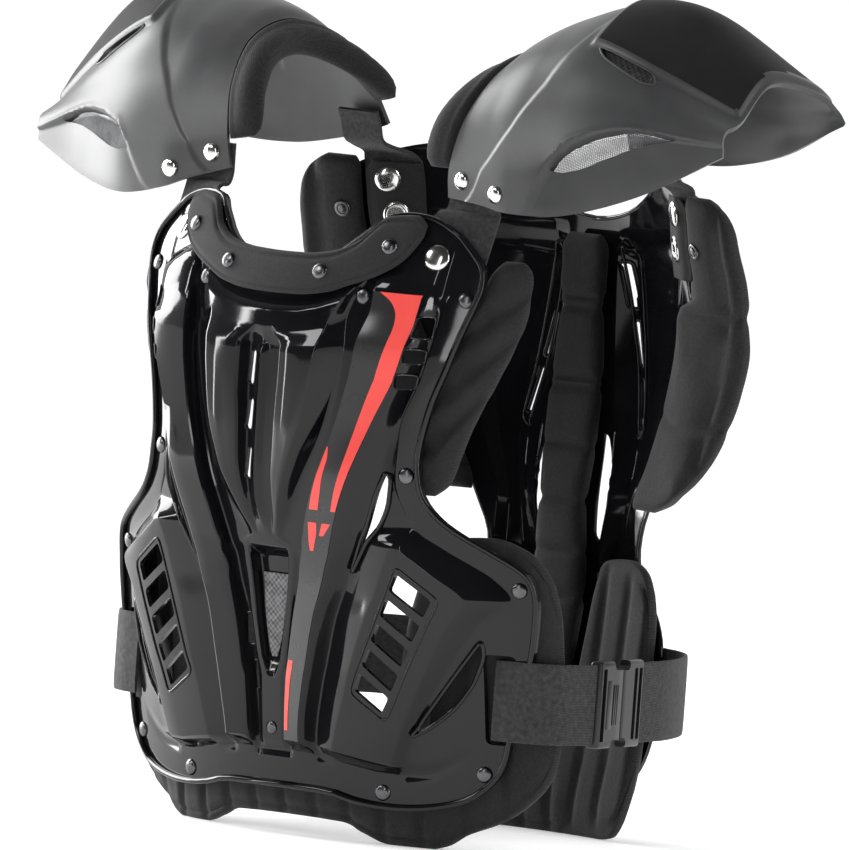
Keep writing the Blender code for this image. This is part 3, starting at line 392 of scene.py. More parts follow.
# Height, then how far each crease line stands out
FRONT_OUT = [
    (4.00, 0.02, 0.02, 0.02, 0.02, 0.02, 0.01, 0.01, 0.01, 0.01, 0.01, 0.00, 0.00, 0.00, 0.00, 0.00),
    (3.34, 0.04, 0.04, 0.04, 0.04, 0.04, 0.02, 0.02, 0.02, 0.02, 0.01, 0.00, 0.00, 0.00, 0.00, 0.00),
    (3.25, 0.10, 0.10, 0.10, 0.10, 0.10, 0.03, 0.03, 0.08, 0.09, 0.00, 0.00, 0.00, 0.00, 0.01, 0.00),
    (3.16, 0.10, 0.10, 0.10, 0.10, 0.10, 0.025, 0.025, 0.09, 0.10, 0.00, -0.01, -0.01, 0.00, 0.01, 0.00),
    (3.04, 0.045, 0.04, 0.03, 0.095, 0.105, 0.02, 0.02, 0.09, 0.10, 0.00, -0.01, -0.01, 0.00, 0.01, 0.00),
    (2.90, 0.045, 0.04, 0.03, 0.095, 0.110, 0.02, 0.02, 0.09, 0.10, 0.00, -0.01, -0.01, 0.00, 0.01, 0.00),
    (2.60, 0.045, 0.04, 0.03, 0.09, 0.110, 0.02, 0.02, 0.09, 0.10, 0.00, -0.01, -0.01, 0.00, 0.01, 0.00),
    (2.30, 0.045, 0.04, 0.03, 0.08, 0.10, 0.02, 0.02, 0.09, 0.11, 0.02, 0.00, 0.00, 0.00, 0.01, 0.00),
    (2.00, 0.045, 0.04, 0.03, 0.05, 0.06, 0.02, 0.02, 0.09, 0.11, 0.02, 0.01, 0.01, 0.01, 0.01, 0.00),
    (1.86, 0.03, 0.03, 0.03, 0.03, 0.03, 0.02, 0.02, 0.09, 0.11, 0.02, 0.09, 0.09, 0.04, 0.00, 0.00),
    (1.79, 0.02, 0.02, 0.02, 0.02, 0.02, 0.02, 0.02, 0.08, 0.11, 0.02, 0.09, 0.10, 0.04, 0.00, 0.00),
    (1.72, -0.04, -0.04, 0.02, 0.02, 0.02, 0.01, 0.01, 0.08, 0.11, 0.02, 0.09, 0.11, 0.04, 0.00, 0.00),
    (1.58, -0.04, -0.04, 0.02, 0.02, 0.02, 0.01, 0.01, 0.07, 0.11, 0.02, 0.09, 0.12, 0.04, 0.00, 0.00),
    (1.40, -0.03, -0.03, 0.02, 0.02, 0.02, 0.00, 0.00, 0.07, 0.11, 0.02, 0.09, 0.12, 0.04, 0.01, 0.00),
    (1.10, -0.02, -0.02, 0.02, 0.02, 0.02, 0.00, 0.00, 0.07, 0.11, 0.02, 0.09, 0.11, 0.04, 0.01, 0.00),
    (0.97, 0.02, 0.02, 0.02, 0.02, 0.02, 0.00, 0.00, 0.07, 0.11, 0.02, 0.08, 0.10, 0.04, 0.01, 0.00),
    (0.60, 0.02, 0.02, 0.02, 0.02, 0.02, 0.00, 0.00, 0.07, 0.10, 0.02, 0.07, 0.08, 0.03, 0.01, 0.00),
    (0.53, 0.00, 0.00, 0.00, 0.00, 0.00, 0.00, 0.00, 0.01, 0.01, 0.00, 0.01, 0.01, 0.00, 0.01, 0.00),
    (0.47, 0.01, 0.01, 0.01, 0.01, 0.01, 0.01, 0.01, 0.01, 0.01, 0.01, 0.01, 0.01, 0.01, 0.01, 0.00),
    (0.20, 0.01, 0.01, 0.01, 0.01, 0.01, 0.01, 0.01, 0.01, 0.01, 0.01, 0.01, 0.01, 0.01, 0.01, 0.00),
]
# Sideways share, rise of the yoke rows, fall of the lower band rows
ROW_LIFT = [
    (0.00, 0.00, 0.00), (0.20, 0.01, 0.00), (0.42, 0.06, -0.02), (0.56, 0.13, -0.05), (0.66, 0.20, -0.06),
    (0.80, 0.27, -0.08), (1.06, 0.16, -0.06), (1.15, 0.14, -0.02), (1.30, 0.14, 0.08), (1.40, 0.14, 0.16),
    (1.60, 0.14, 0.28),
]
FRONT_EDGE = [
    (0.00, 3.58), (0.30, 3.61), (0.45, 3.68), (0.58, 3.80), (0.70, 3.90), (0.90, 3.91), (1.08, 3.84),
    (1.24, 3.70), (1.30, 3.62), (1.32, 3.52), (1.30, 3.40), (1.25, 3.22), (1.19, 3.00), (1.13, 2.82),
    (1.09, 2.66), (1.06, 2.48), (1.06, 2.36), (1.09, 2.20), (1.17, 2.08), (1.28, 1.99), (1.43, 1.90),
    (1.57, 1.81), (1.64, 1.74), (1.67, 1.64), (1.67, 1.48), (1.64, 1.22), (1.58, 0.94), (1.52, 0.70),
    (1.50, 0.60), (1.46, 0.50), (1.39, 0.41), (1.29, 0.33), (1.14, 0.275), (0.96, 0.245), (0.77, 0.24),
    (0.58, 0.26), (0.35, 0.30), (0.00, 0.32),
]
# Slots: half width, half height, lean, centre sideways, centre height
FRONT_SLOTS = [
    (0.030, 0.11, -0.04, 0.095, 2.89), (0.030, 0.10, -0.04, 0.090, 2.60), (0.026, 0.10, -0.05, 0.080, 2.30),
    (0.028, 0.07, 0.10, 1.055, 3.24), (0.026, 0.05, 0.12, 1.025, 3.06), (0.026, 0.05, 0.16, 0.985, 2.90),
    (0.018, 0.10, 0.12, 0.180, 1.26), (0.016, 0.09, 0.08, 0.135, 0.98),
]
KEEL_SLOTS = FRONT_SLOTS[:3]
SIDE_SLOTS = FRONT_SLOTS[3:]
LEAF = [
    (0.86, 2.33), (0.895, 2.30), (0.885, 2.12), (0.82, 1.98), (0.74, 1.86), (0.62, 1.66), (0.68, 1.83),
    (0.76, 2.03),
]
LOUVRES = [
    [(0.96, 1.71), (1.18, 1.56), (1.13, 1.45), (0.91, 1.60)],
    [(0.895, 1.55), (1.11, 1.40), (1.06, 1.29), (0.85, 1.44)],
    [(0.835, 1.39), (1.04, 1.24), (0.99, 1.13), (0.79, 1.28)],
    [(0.775, 1.23), (0.97, 1.08), (0.92, 0.97), (0.73, 1.12)],
    [(0.715, 1.07), (0.90, 0.93), (0.85, 0.83), (0.67, 0.96)],
]
LOUVRE_FRAME = [(0.955, 1.755), (1.225, 1.565), (0.875, 0.775), (0.635, 0.935)]
CRESCENT = [
    (1.39, 1.34), (1.40, 1.24), (1.34, 1.06), (1.24, 0.90), (1.12, 0.78), (0.98, 0.69), (1.08, 0.84),
    (1.24, 1.10),
]
STRAP_SLOT = [(1.39, 0.69), (1.56, 0.69), (1.56, 1.25), (1.39, 1.25)]

LIFT_RISE = table_curve(ROW_LIFT, 1)
LIFT_FALL = table_curve(ROW_LIFT, 2)
CREASES = len(FRONT_X[0]) - 1
CREASE_X = [table_curve(FRONT_X, k + 1) for k in range(CREASES)]
CREASE_OUT = [table_curve(FRONT_OUT, k + 1) for k in range(CREASES)]


def crease_out(number, row):
    """How far a crease line stands out: drawn out below the yoke, with a fine keel between the slots."""
    deeper = 1.0 + (CREASE_DEPTH - 1.0) * (1.0 - ramp(row, 3.02, 3.16))
    keel = KEEL_RISE * ramp(row, 1.90, 2.10) * (1.0 - ramp(row, 3.00, 3.10)) if number == 0 else 0.0
    return float(CREASE_OUT[number](row) * deeper + keel)


def lifted(x_share, row):
    top = np.clip((row - 2.90) / 0.35, 0.0, 1.0)
    foot = np.clip((1.60 - row) / 1.00, 0.0, 1.0)
    return row + LIFT_RISE(np.abs(x_share)) * top + LIFT_FALL(np.abs(x_share)) * foot


def row_for(x_share, height):
    """The table row that a height lies on at a sideways place."""
    rows = np.linspace(0.20, 4.00, 400)
    return np.interp(height, lifted(x_share, rows), rows)


def front_profile(row):
    """One row's points from the keel outwards, with each crease rounded: sideways and out."""
    xs = [float(curve(row)) for curve in CREASE_X]
    outs = [crease_out(number, row) for number in range(CREASES)]
    line = []
    for k in range(CREASES - 1):
        wide = xs[k + 1] - xs[k]
        near = min(0.30 * wide, CREASE_ROUND) / wide
        for share in (0.0, near, 0.36, 0.64, 1.0 - near):
            line.append((xs[k] + share * wide, outs[k] + share * (outs[k + 1] - outs[k])))
    line.append((xs[-1], outs[-1]))
    smooth = list(line)
    for k in range(0, len(line) - 1, 5):
        before = line[k - 1] if k else (-line[1][0], line[1][1])
        smooth[k] = (line[k][0], 0.5 * line[k][1] + 0.25 * (before[1] + line[k + 1][1]))
    return smooth


def front_sheet():
    rows = sorted({round(r[0], 3) for r in FRONT_X} | set(np.round(np.arange(0.20, 4.00, ROW_STEP), 3)))
    places = []
    for row in reversed(rows):
        half = np.array(front_profile(row))
        full = np.concatenate([half[:0:-1] * (-1.0, 1.0), half])
        z = lifted(full[:, 0], row)
        places.append(front_at(full[:, 0] * HAND, z * HAND, full[:, 1] * HAND))
    return np.array(places)


def skin_of(item):
    return BVHTree.FromObject(item, bpy.context.evaluated_depsgraph_get())


def on_skin(skin, outline, sink=0.0, way=1.0):
    """Points of an outline, in hands, laid on a skin met from the front or the back."""
    spots = []
    for x, z in outline:
        start = Vector((x * HAND + SIDE_SHIFT, -SKIN_REACH * way, z * HAND))
        hit, normal, _, _ = skin.ray_cast(start, Vector((0.0, way, 0.0)))
        if hit is not None:
            spots.append(hit - normal * sink)
    return spots


def slot_outline(row):
    half_wide, half_tall, lean, x_mid, z_mid = row
    corners = ((-1, -1), (1, -1), (1, 1), (-1, 1))
    box = [(right * half_wide, up * half_tall) for right, up in corners]
    outline = [(x_mid + x + lean * z, z_mid + z) for x, z in box]
    return rounded(outline, half_wide * 0.98, 4)


def across(outline):
    return [(x * HAND + SIDE_SHIFT, z * HAND) for x, z in outline]


def both_sides(outlines):
    return [on_side(outline, side) for outline in outlines for side in (1, -1)]


def front_moulding():
    places = front_sheet()
    sheet = grid_piece("front_moulding", places)
    skin = skin_of(sheet)
    leaf = rounded(finer(LEAF, 1.0), 0.06, 3)
    crescent = rounded(CRESCENT, 0.06, 3)
    strap_slot = rounded(STRAP_SLOT, 0.04, 3)
    openings = [slot_outline(row) for row in SIDE_SLOTS] + [leaf, crescent, strap_slot]
    openings += [rounded(louvre, 0.02, 2) for louvre in LOUVRES]
    keel_slots = [on_side(slot_outline(row), -1) for row in KEEL_SLOTS]
    openings = both_sides(openings) + keel_slots
    edge = flowing(mirrored(FRONT_EDGE)[:-1], 3)
    inner_edge = [(x * 0.994, 2.0 + (z - 2.0) * 0.996) for x, z in edge]
    beads = [bead("edge_bead", on_skin(skin, finer(inner_edge, 0.03), PLATE_WALL / 2), EDGE_BEAD, sides=3)]
    for outline in both_sides([leaf, crescent]):
        beads.append(bead("opening_bead", on_skin(skin, finer(outline, 0.03), PLATE_WALL / 2), OPENING_BEAD))
    for outline in both_sides([rounded(LOUVRE_FRAME, 0.05, 4)]):
        beads.append(bead("frame_bead", on_skin(skin, finer(outline, 0.02), 0.0), FRAME_BEAD))
    for outline in both_sides([slot_outline(row) for row in SIDE_SLOTS[:3]]) + keel_slots:
        beads.append(bead("slot_bead", on_skin(skin, finer(outline, 0.02), 0.0002), SLOT_BEAD))
    bpy.data.objects.remove(sheet, do_unlink=True)
    sheet = slab_piece("front_moulding", places, PLATE_WALL)
    low = DEPTH_SHIFT - 0.07
    high = DEPTH_SHIFT + 0.10
    carve(sheet, punch("front_outline", [across(edge)], low, high), "INTERSECT")
    carve(sheet, punch("front_openings", [across(outline) for outline in openings], low, high))
    soften(sheet, 32)
    for item in beads:
        soften(item, 60)
    return weld("front_moulding", [sheet] + beads), skin


# Back shell: height, crease places, then outs
BACK_X = [
    (4.40, 0.00, 0.12, 0.20, 0.30, 0.60, 0.85, 1.00, 1.25, 1.70),
    (3.80, 0.00, 0.12, 0.20, 0.30, 0.60, 0.85, 1.00, 1.25, 1.65),
    (3.55, 0.00, 0.14, 0.20, 0.30, 0.55, 0.82, 0.98, 1.22, 1.60),
    (3.00, 0.00, 0.14, 0.22, 0.35, 0.50, 0.74, 0.86, 1.08, 1.34),
    (2.40, 0.00, 0.14, 0.30, 0.44, 0.50, 0.62, 0.68, 0.80, 1.20),
    (2.00, 0.00, 0.14, 0.30, 0.40, 0.44, 0.50, 0.56, 0.66, 1.10),
    (1.60, 0.00, 0.14, 0.24, 0.32, 0.40, 0.50, 0.62, 0.90, 1.30),
    (1.10, 0.00, 0.16, 0.32, 0.40, 0.50, 0.60, 0.80, 1.00, 1.30),
    (0.60, 0.00, 0.18, 0.32, 0.40, 0.50, 0.60, 0.80, 1.00, 1.30),
    (0.20, 0.00, 0.18, 0.32, 0.40, 0.50, 0.60, 0.80, 1.00, 1.30),
]
BACK_OUT = [
    (4.40, 0.00, 0.00, 0.00, 0.00, 0.00, 0.00, 0.00, 0.00, 0.00),
    (3.80, 0.00, 0.00, 0.00, 0.00, 0.00, 0.00, 0.00, 0.00, 0.00),
    (3.55, 0.00, 0.00, 0.00, 0.09, 0.09, 0.08, 0.02, 0.00, 0.00),
    (3.00, 0.00, 0.00, 0.00, 0.10, 0.10, 0.09, 0.02, 0.00, 0.00),
    (2.40, 0.00, 0.00, 0.00, 0.08, 0.08, 0.07, 0.01, 0.00, 0.00),
    (2.00, 0.00, 0.00, 0.00, 0.07, 0.07, 0.05, 0.01, 0.00, 0.00),
    (1.60, 0.00, 0.00, 0.00, 0.07, 0.07, 0.05, 0.01, 0.00, 0.00),
    (1.10, 0.00, 0.00, 0.00, 0.06, 0.07, 0.07, 0.01, 0.00, 0.00),
    (0.60, 0.00, 0.00, 0.00, 0.04, 0.05, 0.05, 0.00, 0.00, 0.00),
    (0.20, 0.00, 0.00, 0.00, 0.00, 0.00, 0.00, 0.00, 0.00, 0.00),
]
BACK_EDGE = [
    (0.00, 3.82), (0.30, 3.88), (0.55, 4.02), (0.75, 4.18), (0.95, 4.20), (1.30, 4.08), (1.52, 3.94),
    (1.56, 3.72), (1.48, 3.50), (1.30, 3.22), (1.14, 2.90), (1.01, 2.62), (0.84, 2.32), (0.70, 2.05),
    (0.61, 1.80), (0.64, 1.60), (0.76, 1.48), (0.88, 1.36), (0.97, 1.20), (1.00, 0.95), (0.98, 0.65),
    (0.90, 0.46), (0.78, 0.36), (0.60, 0.33), (0.00, 0.33),
]
BACK_SLOTS = [
    (0.035, 0.15, -0.22, 0.26, 3.42), (0.032, 0.15, -0.22, 0.35, 3.06), (0.028, 0.15, -0.20, 0.43, 2.70),
]
BACK_HOLES = [
    [(0.19, 2.50), (0.25, 2.48), (0.30, 2.34), (0.30, 2.02), (0.25, 1.80), (0.19, 1.84)],
    [(0.20, 1.42), (0.27, 1.42), (0.31, 1.32), (0.29, 1.14), (0.22, 1.10)],
]
BACK_FRAME = [(0.20, 3.66), (0.34, 3.66), (0.50, 2.52), (0.44, 2.46)]


def back_moulding():
    xs = [table_curve(BACK_X, k + 1) for k in range(9)]
    outs = [table_curve(BACK_OUT, k + 1) for k in range(9)]
    places = []
    for row in reversed(np.arange(0.20, 4.401, 0.03)):
        half = []
        for k in range(8):
            low, high = float(xs[k](row)), float(xs[k + 1](row))
            a, b = float(outs[k](row)), float(outs[k + 1](row))
            near = min(0.30, 0.012 / (high - low))
            for share in (0.0, near, 0.36, 0.64, 1.0 - near):
                half.append((low + share * (high - low), a + share * (b - a)))
        half.append((float(xs[8](row)), float(outs[8](row))))
        half = np.array(half)
        full = np.concatenate([half[:0:-1] * (-1.0, 1.0), half])
        level = np.full(len(full), row * HAND)
        places.append(back_at(full[:, 0] * HAND, level, full[:, 1] * HAND + PLATE_WALL))
    sheet = grid_piece("back_moulding", places)
    skin = skin_of(sheet)
    edge = flowing(mirrored(BACK_EDGE)[:-1], 3)
    inner_edge = [(x * 0.992, 2.2 + (z - 2.2) * 0.995) for x, z in edge]
    slots = [slot_outline(row) for row in BACK_SLOTS]
    holes = [rounded(hole, 0.05, 4) for hole in BACK_HOLES]
    beads = [bead("edge_bead", on_skin(skin, finer(inner_edge, 0.03), PLATE_WALL / 2), EDGE_BEAD, sides=3)]
    for outline in both_sides(holes):
        beads.append(bead("hole_bead", on_skin(skin, finer(outline, 0.03), PLATE_WALL / 2), OPENING_BEAD))
    for outline in both_sides(slots):
        beads.append(bead("slot_bead", on_skin(skin, finer(outline, 0.02), PLATE_WALL / 2), BACK_SLOT_BEAD))
    for outline in both_sides([rounded(BACK_FRAME, 0.04, 4)]):
        beads.append(bead("frame_bead", on_skin(skin, finer(outline, 0.03), PLATE_WALL), BACK_FRAME_BEAD))
    bpy.data.objects.remove(sheet, do_unlink=True)
    sheet = slab_piece("back_moulding", places, -PLATE_WALL)
    low = DEPTH_SHIFT + 1.3 * HAND
    high = DEPTH_SHIFT + 3.4 * HAND
    carve(sheet, punch("back_outline", [across(edge)], low, high), "INTERSECT")
    carve(sheet, punch("back_openings", [across(o) for o in both_sides(slots + holes)], low, high))
    soften(sheet, 32)
    for item in beads:
        soften(item, 60)
    return weld("back_moulding", [sheet] + beads)


# Pads: height or sideways place, then the low and the high edge
UPPER_PAD = [
    (2.20, 0.98, 1.08), (2.28, 0.90, 1.16), (2.46, 0.86, 1.22), (2.62, 0.88, 1.27), (2.84, 0.94, 1.36),
    (3.00, 0.98, 1.42), (3.10, 1.02, 1.46), (3.24, 1.16, 1.50), (3.46, 1.26, 1.52), (3.60, 1.30, 1.49),
    (3.68, 1.34, 1.44),
]
UPPER_SEAMS = [
    [(0.88, 2.40), (1.06, 2.50), (1.32, 2.82)],
    [(0.92, 2.70), (1.14, 2.84), (1.48, 3.20)],
    [(1.10, 3.10), (1.28, 3.24), (1.54, 3.50)],
]
LOWER_PAD = [
    (-1.73, 0.90, 1.50), (-1.68, 0.54, 1.74), (-1.58, 0.36, 1.90), (-1.40, 0.20, 1.97), (-1.20, 0.10, 1.95),
    (-1.08, 0.02, 1.60), (-1.00, 0.00, 0.62), (-0.74, 0.00, 0.60), (-0.58, 0.05, 0.60), (-0.42, 0.11, 0.60),
    (0.00, 0.12, 0.62), (0.42, 0.11, 0.60), (0.58, 0.05, 0.60), (0.74, 0.00, 0.60), (1.00, 0.00, 0.62),
    (1.08, 0.02, 1.60), (1.20, 0.10, 1.95), (1.40, 0.20, 1.97), (1.58, 0.36, 1.90), (1.68, 0.54, 1.74),
    (1.73, 0.90, 1.50),
]
BACK_PAD = [
    (2.06, 0.66, 0.90), (2.14, 0.68, 1.12), (2.32, 0.76, 1.36), (2.52, 0.84, 1.51), (2.62, 0.88, 1.56),
    (2.84, 0.96, 1.66), (3.20, 1.10, 1.76), (3.34, 1.14, 1.76), (3.46, 1.34, 1.78), (3.85, 1.34, 1.74),
    (4.00, 1.34, 1.66), (4.08, 1.35, 1.54),
]
BACK_SEAMS = [
    [(1.62, 4.10), (1.66, 3.40), (1.52, 2.90), (1.36, 2.40)],
    [(0.80, 2.70), (1.20, 2.60), (1.60, 2.64)],
    [(1.10, 3.36), (1.50, 3.32), (1.80, 3.36)],
]
SPINE_PAD = [
    (1.00, -0.16, 0.16), (1.06, -0.18, 0.18), (1.40, -0.20, 0.20), (1.46, -0.19, 0.19), (1.52, -0.19, 0.19),
    (2.00, -0.17, 0.17), (2.06, -0.16, 0.16), (2.12, -0.17, 0.17), (2.48, -0.19, 0.19), (2.70, -0.19, 0.19),
    (2.76, -0.18, 0.18), (2.82, -0.18, 0.18), (3.20, -0.15, 0.15), (3.26, -0.14, 0.14), (3.32, -0.15, 0.15),
    (3.62, -0.16, 0.16), (3.72, -0.12, 0.12),
]
SPINE_SEAMS = [[(-0.3, z), (0.3, z)] for z in (1.46, 1.74, 2.06, 2.40, 2.76, 2.82, 3.26, 3.32)]
LUMBAR_PAD = [
    (-0.98, 0.44, 0.90), (-0.95, 0.28, 1.34), (-0.89, 0.12, 1.58), (-0.80, 0.02, 1.70), (-0.66, 0.00, 1.74),
    (-0.44, 0.00, 1.72), (-0.37, 0.00, 1.66), (-0.31, 0.00, 0.96), (0.00, 0.00, 0.94), (0.31, 0.00, 0.96),
    (0.37, 0.00, 1.66), (0.44, 0.00, 1.72), (0.66, 0.00, 1.74), (0.80, 0.02, 1.70), (0.89, 0.12, 1.58),
    (0.95, 0.28, 1.34), (0.98, 0.44, 0.90),
]
LUMBAR_SEAMS = [[(x, 0.0), (x, 0.9)] for x in (-0.22, 0.0, 0.22)] + [
    [(side * 0.42, 0.10), (side * 0.50, 0.90), (side * 0.46, 1.66)] for side in (1, -1)] + [
    [(side * 0.66, 0.12), (side * 0.74, 0.90), (side * 0.70, 1.62)] for side in (1, -1)]
BACK_TAB = [(3.54, 1.00, 1.28), (3.60, 0.99, 1.30), (3.98, 0.99, 1.30), (4.06, 1.00, 1.24)]
COLLAR = [
    (-0.94, 3.80, 3.86), (-0.86, 3.64, 3.92), (-0.70, 3.52, 3.90), (-0.56, 3.46, 3.74), (-0.40, 3.40, 3.66),
    (-0.20, 3.37, 3.63), (0.00, 3.365, 3.625), (0.20, 3.37, 3.63), (0.40, 3.40, 3.66), (0.56, 3.46, 3.74),
    (0.70, 3.52, 3.90), (0.86, 3.64, 3.92), (0.94, 3.80, 3.86),
]


PAD_RING = 44
PAD_STEP = 0.022


def seam_distance(x, z, seams):
    nearest = np.full(np.shape(x), 9.0)
    for seam in seams:
        for (ax, az), (bx, bz) in zip(seam, seam[1:]):
            run = (bx - ax) ** 2 + (bz - az) ** 2
            t = np.clip(((x - ax) * (bx - ax) + (z - az) * (bz - az)) / run, 0.0, 1.0)
            away = np.hypot(x - ax - t * (bx - ax), z - az - t * (bz - az))
            nearest = np.minimum(nearest, away)
    return nearest


def quilted(name, rows, surface, seat, thick, upright, seams=(), seam_wide=0.035, seam_deep=0.45,
            edge_wide=0.0, crown=0.16):
    """A quilted pad: rounded edges, crowned faces and sewn channels along the seams."""
    keys = [row[0] for row in rows]
    low = smooth_curve(keys, [row[1] for row in rows])
    high = smooth_curve(keys, [row[2] for row in rows])
    roll = 0.5 * thick / HAND
    ends = [keys[0] + roll * (1.0 - math.cos(t)) for t in np.linspace(0.12, math.pi / 2, 7)]
    tails = [keys[-1] - roll * (1.0 - math.cos(t)) for t in np.linspace(math.pi / 2, 0.12, 7)]
    middle = np.arange(ends[-1], tails[0], PAD_STEP)[1:]
    along = np.array(ends + list(middle) + tails)
    inset = np.minimum(along - keys[0], keys[-1] - along)
    end = np.sqrt(np.clip(1.0 - (1.0 - np.clip(inset / roll, 0.0, 1.0)) ** 2, 0.02, 1.0))
    turn = np.linspace(0.0, 2.0 * math.pi, PAD_RING, endpoint=False)
    side = np.sign(np.cos(turn)) * np.abs(np.cos(turn)) ** 0.42
    face = np.sign(np.sin(turn)) * np.abs(np.sin(turn)) ** 0.62
    middle_place = (low(along) + high(along)) / 2.0
    half = (high(along) - low(along)) / 2.0
    other = middle_place[:, None] + half[:, None] * side[None, :]
    along = np.repeat(along[:, None], PAD_RING, axis=1)
    x, z = (other, along) if upright else (along, other)
    share = side[None, :]
    full = (1.0 - crown) + crown * (1.0 - share ** 2)
    channel = 1.0
    if seams:
        channel = 1.0 - seam_deep * np.exp(-(seam_distance(x, z, seams) / seam_wide) ** 2)
    if edge_wide:
        rim = np.abs((1.0 - np.abs(share)) * half[:, None] - edge_wide)
        channel = channel * (1.0 - 0.35 * np.exp(-(rim / (0.30 * edge_wide)) ** 2))
    depth = thick * full * channel * end[:, None]
    out = seat - thick / 2.0 + face[None, :] * depth / 2.0
    return tube_piece(name, surface(x * HAND, z * HAND, out))


def sided(rows, side):
    if side > 0:
        return rows
    return [(along, -high, -low) for along, low, high in rows]


def seams_on(seams, side):
    return [[(side * x, z) for x, z in seam] for seam in seams]


# Shoulder cup, shares of HAND: sideways place of each column, then rows from front to rear
CUP_ACROSS = (0.00, 1.16, 1.42, 1.80, 2.25, 2.76)
CUP_NECK = (0.88, 0.90, 0.96, 1.03, 1.07, 1.06, 1.02, 0.98)
CUP_ROWS = [
    ((0.15, 4.04), (0.12, 3.99), (0.10, 3.93), (0.16, 3.91), (0.34, 4.02), (0.54, 4.25)),
    ((0.15, 4.26), (0.12, 4.24), (0.10, 4.22), (0.14, 4.24), (0.33, 4.36), (0.55, 4.36)),
    ((0.27, 4.58), (0.26, 4.60), (0.25, 4.62), (0.28, 4.60), (0.42, 4.56), (0.60, 4.42)),
    ((0.56, 4.86), (0.55, 4.92), (0.53, 4.97), (0.50, 4.95), (0.56, 4.75), (0.74, 4.47)),
    ((1.00, 4.98), (1.00, 5.07), (1.00, 5.16), (1.00, 5.22), (1.00, 5.12), (1.04, 4.70)),
    ((1.42, 4.87), (1.44, 4.94), (1.47, 5.02), (1.50, 5.04), (1.52, 4.94), (1.50, 4.64)),
    ((1.70, 4.60), (1.73, 4.61), (1.78, 4.62), (1.82, 4.60), (1.82, 4.54), (1.68, 4.54)),
    ((1.84, 4.32), (1.86, 4.28), (1.88, 4.24), (1.88, 4.22), (1.84, 4.28), (1.75, 4.46)),
]
CUP_PIVOT = np.array((0.95 * HAND, 0.0, 4.10 * HAND))
CUP_COLUMN_PARTS = 22
CUP_ROW_PARTS = 18
# Places on a cup as (row, column): the lip over the side recess, the fold, the neck step, the slot
LIP = [(0.00, 2.20), (0.60, 2.50), (1.05, 2.75), (1.35, 2.98), (1.46, 3.35), (1.44, 3.75), (1.27, 4.15),
       (0.96, 4.65), (0.70, 5.00)]
NECK_STEP = [(0.00, 0.60), (0.90, 1.10), (1.60, 1.85), (2.30, 2.35), (3.00, 2.65), (3.60, 2.90),
             (5.00, 2.90), (7.00, 2.60)]
LENS = [(0.92, 2.74), (1.14, 2.88), (1.30, 3.10), (1.39, 3.42), (1.37, 3.76), (1.27, 4.08), (1.10, 4.36),
        (0.97, 4.42), (0.90, 4.10), (0.83, 3.70), (0.80, 3.30), (0.82, 3.00)]
UPPER_SLOT = [(3.02, 3.05), (3.02, 3.95), (2.84, 4.02), (2.74, 3.86), (2.88, 3.22)]


def cup_points():
    """The smooth face through the rows, before it is turned to its side."""
    grid = []
    for neck, row in zip(CUP_NECK, CUP_ROWS):
        line = [(max(x, neck) * HAND, y * HAND, z * HAND) for x, (y, z) in zip(CUP_ACROSS, row)]
        grid.append(flowing(line, CUP_COLUMN_PARTS, False))
    columns = [flowing(list(column), CUP_ROW_PARTS, False) for column in zip(*grid)]
    return np.array(columns).transpose(1, 0, 2)


def normals_of(grid):
    along = np.gradient(grid, axis=0)
    sideways = np.gradient(grid, axis=1)
    normal = np.cross(along, sideways)
    return normal / np.linalg.norm(normal, axis=-1, keepdims=True)


def cup_turn(grid, side):
    lift = np.array(Matrix.Rotation(-CUP_ROLL * side, 3, "Y"))
    moved = (grid - CUP_PIVOT) @ lift.T + CUP_PIVOT
    moved[..., 0] *= side
    return moved + np.array((SIDE_SHIFT, DEPTH_SHIFT, 0.0))


def cup_relief(v, u):
    """How far the cup's outer face is pressed in at row v and column u, in metres."""
    lip_v = np.interp(u, [c for _, c in LIP[2:]], [r for r, _ in LIP[2:]], left=9.0, right=0.3)
    fold_u = np.interp(v, [r for r, _ in LIP[:3]], [c for _, c in LIP[:3]])
    under = 1.0 - ramp(v, lip_v - 0.16, lip_v - 0.02)
    under = np.where(u < 2.75, 1.0 - ramp(v, 1.03, 1.15), under)
    beside = ramp(u, fold_u, fold_u + 0.14)
    fade = 0.35 + 0.65 * ramp(v, 0.1, 0.9)
    press = 0.0046 * under * beside * fade * (1.0 - 0.6 * ramp(u, 4.2, 5.0))
    step_u = np.interp(v, [r for r, _ in NECK_STEP], [c for _, c in NECK_STEP])
    press = press + 0.0011 * (1.0 - ramp(u, step_u - 0.05, step_u + 0.03)) * ramp(5.6 - v, 0.0, 0.6)
    chamfer = ramp(v, 2.98, 3.10) * ramp(u, 2.86, 2.98) * (1.0 - ramp(v, 5.6, 5.9))
    press = press - 0.0030 * chamfer * (1.0 - ramp(u, 4.84, 4.95))
    lip_line = np.exp(-((v - lip_v) / 0.07) ** 2) * ramp(u, 2.5, 2.8) * (1.0 - ramp(u, 4.6, 4.9))
    return press - 0.0006 * lip_line


def cup_place(spots, pick_from):
    """Points of (row, column) read from a cup grid."""
    rows, cols = pick_from.shape[:2]
    out = []
    for v, u in spots:
        r = min(v * CUP_ROW_PARTS, rows - 1.001)
        c = min(u * CUP_COLUMN_PARTS, cols - 1.001)
        i, j = int(r), int(c)
        a, b = r - i, c - j
        spot = (1 - a) * (1 - b) * pick_from[i, j] + a * (1 - b) * pick_from[i + 1, j]
        spot = spot + (1 - a) * b * pick_from[i, j + 1] + a * b * pick_from[i + 1, j + 1]
        out.append(spot)
    return out


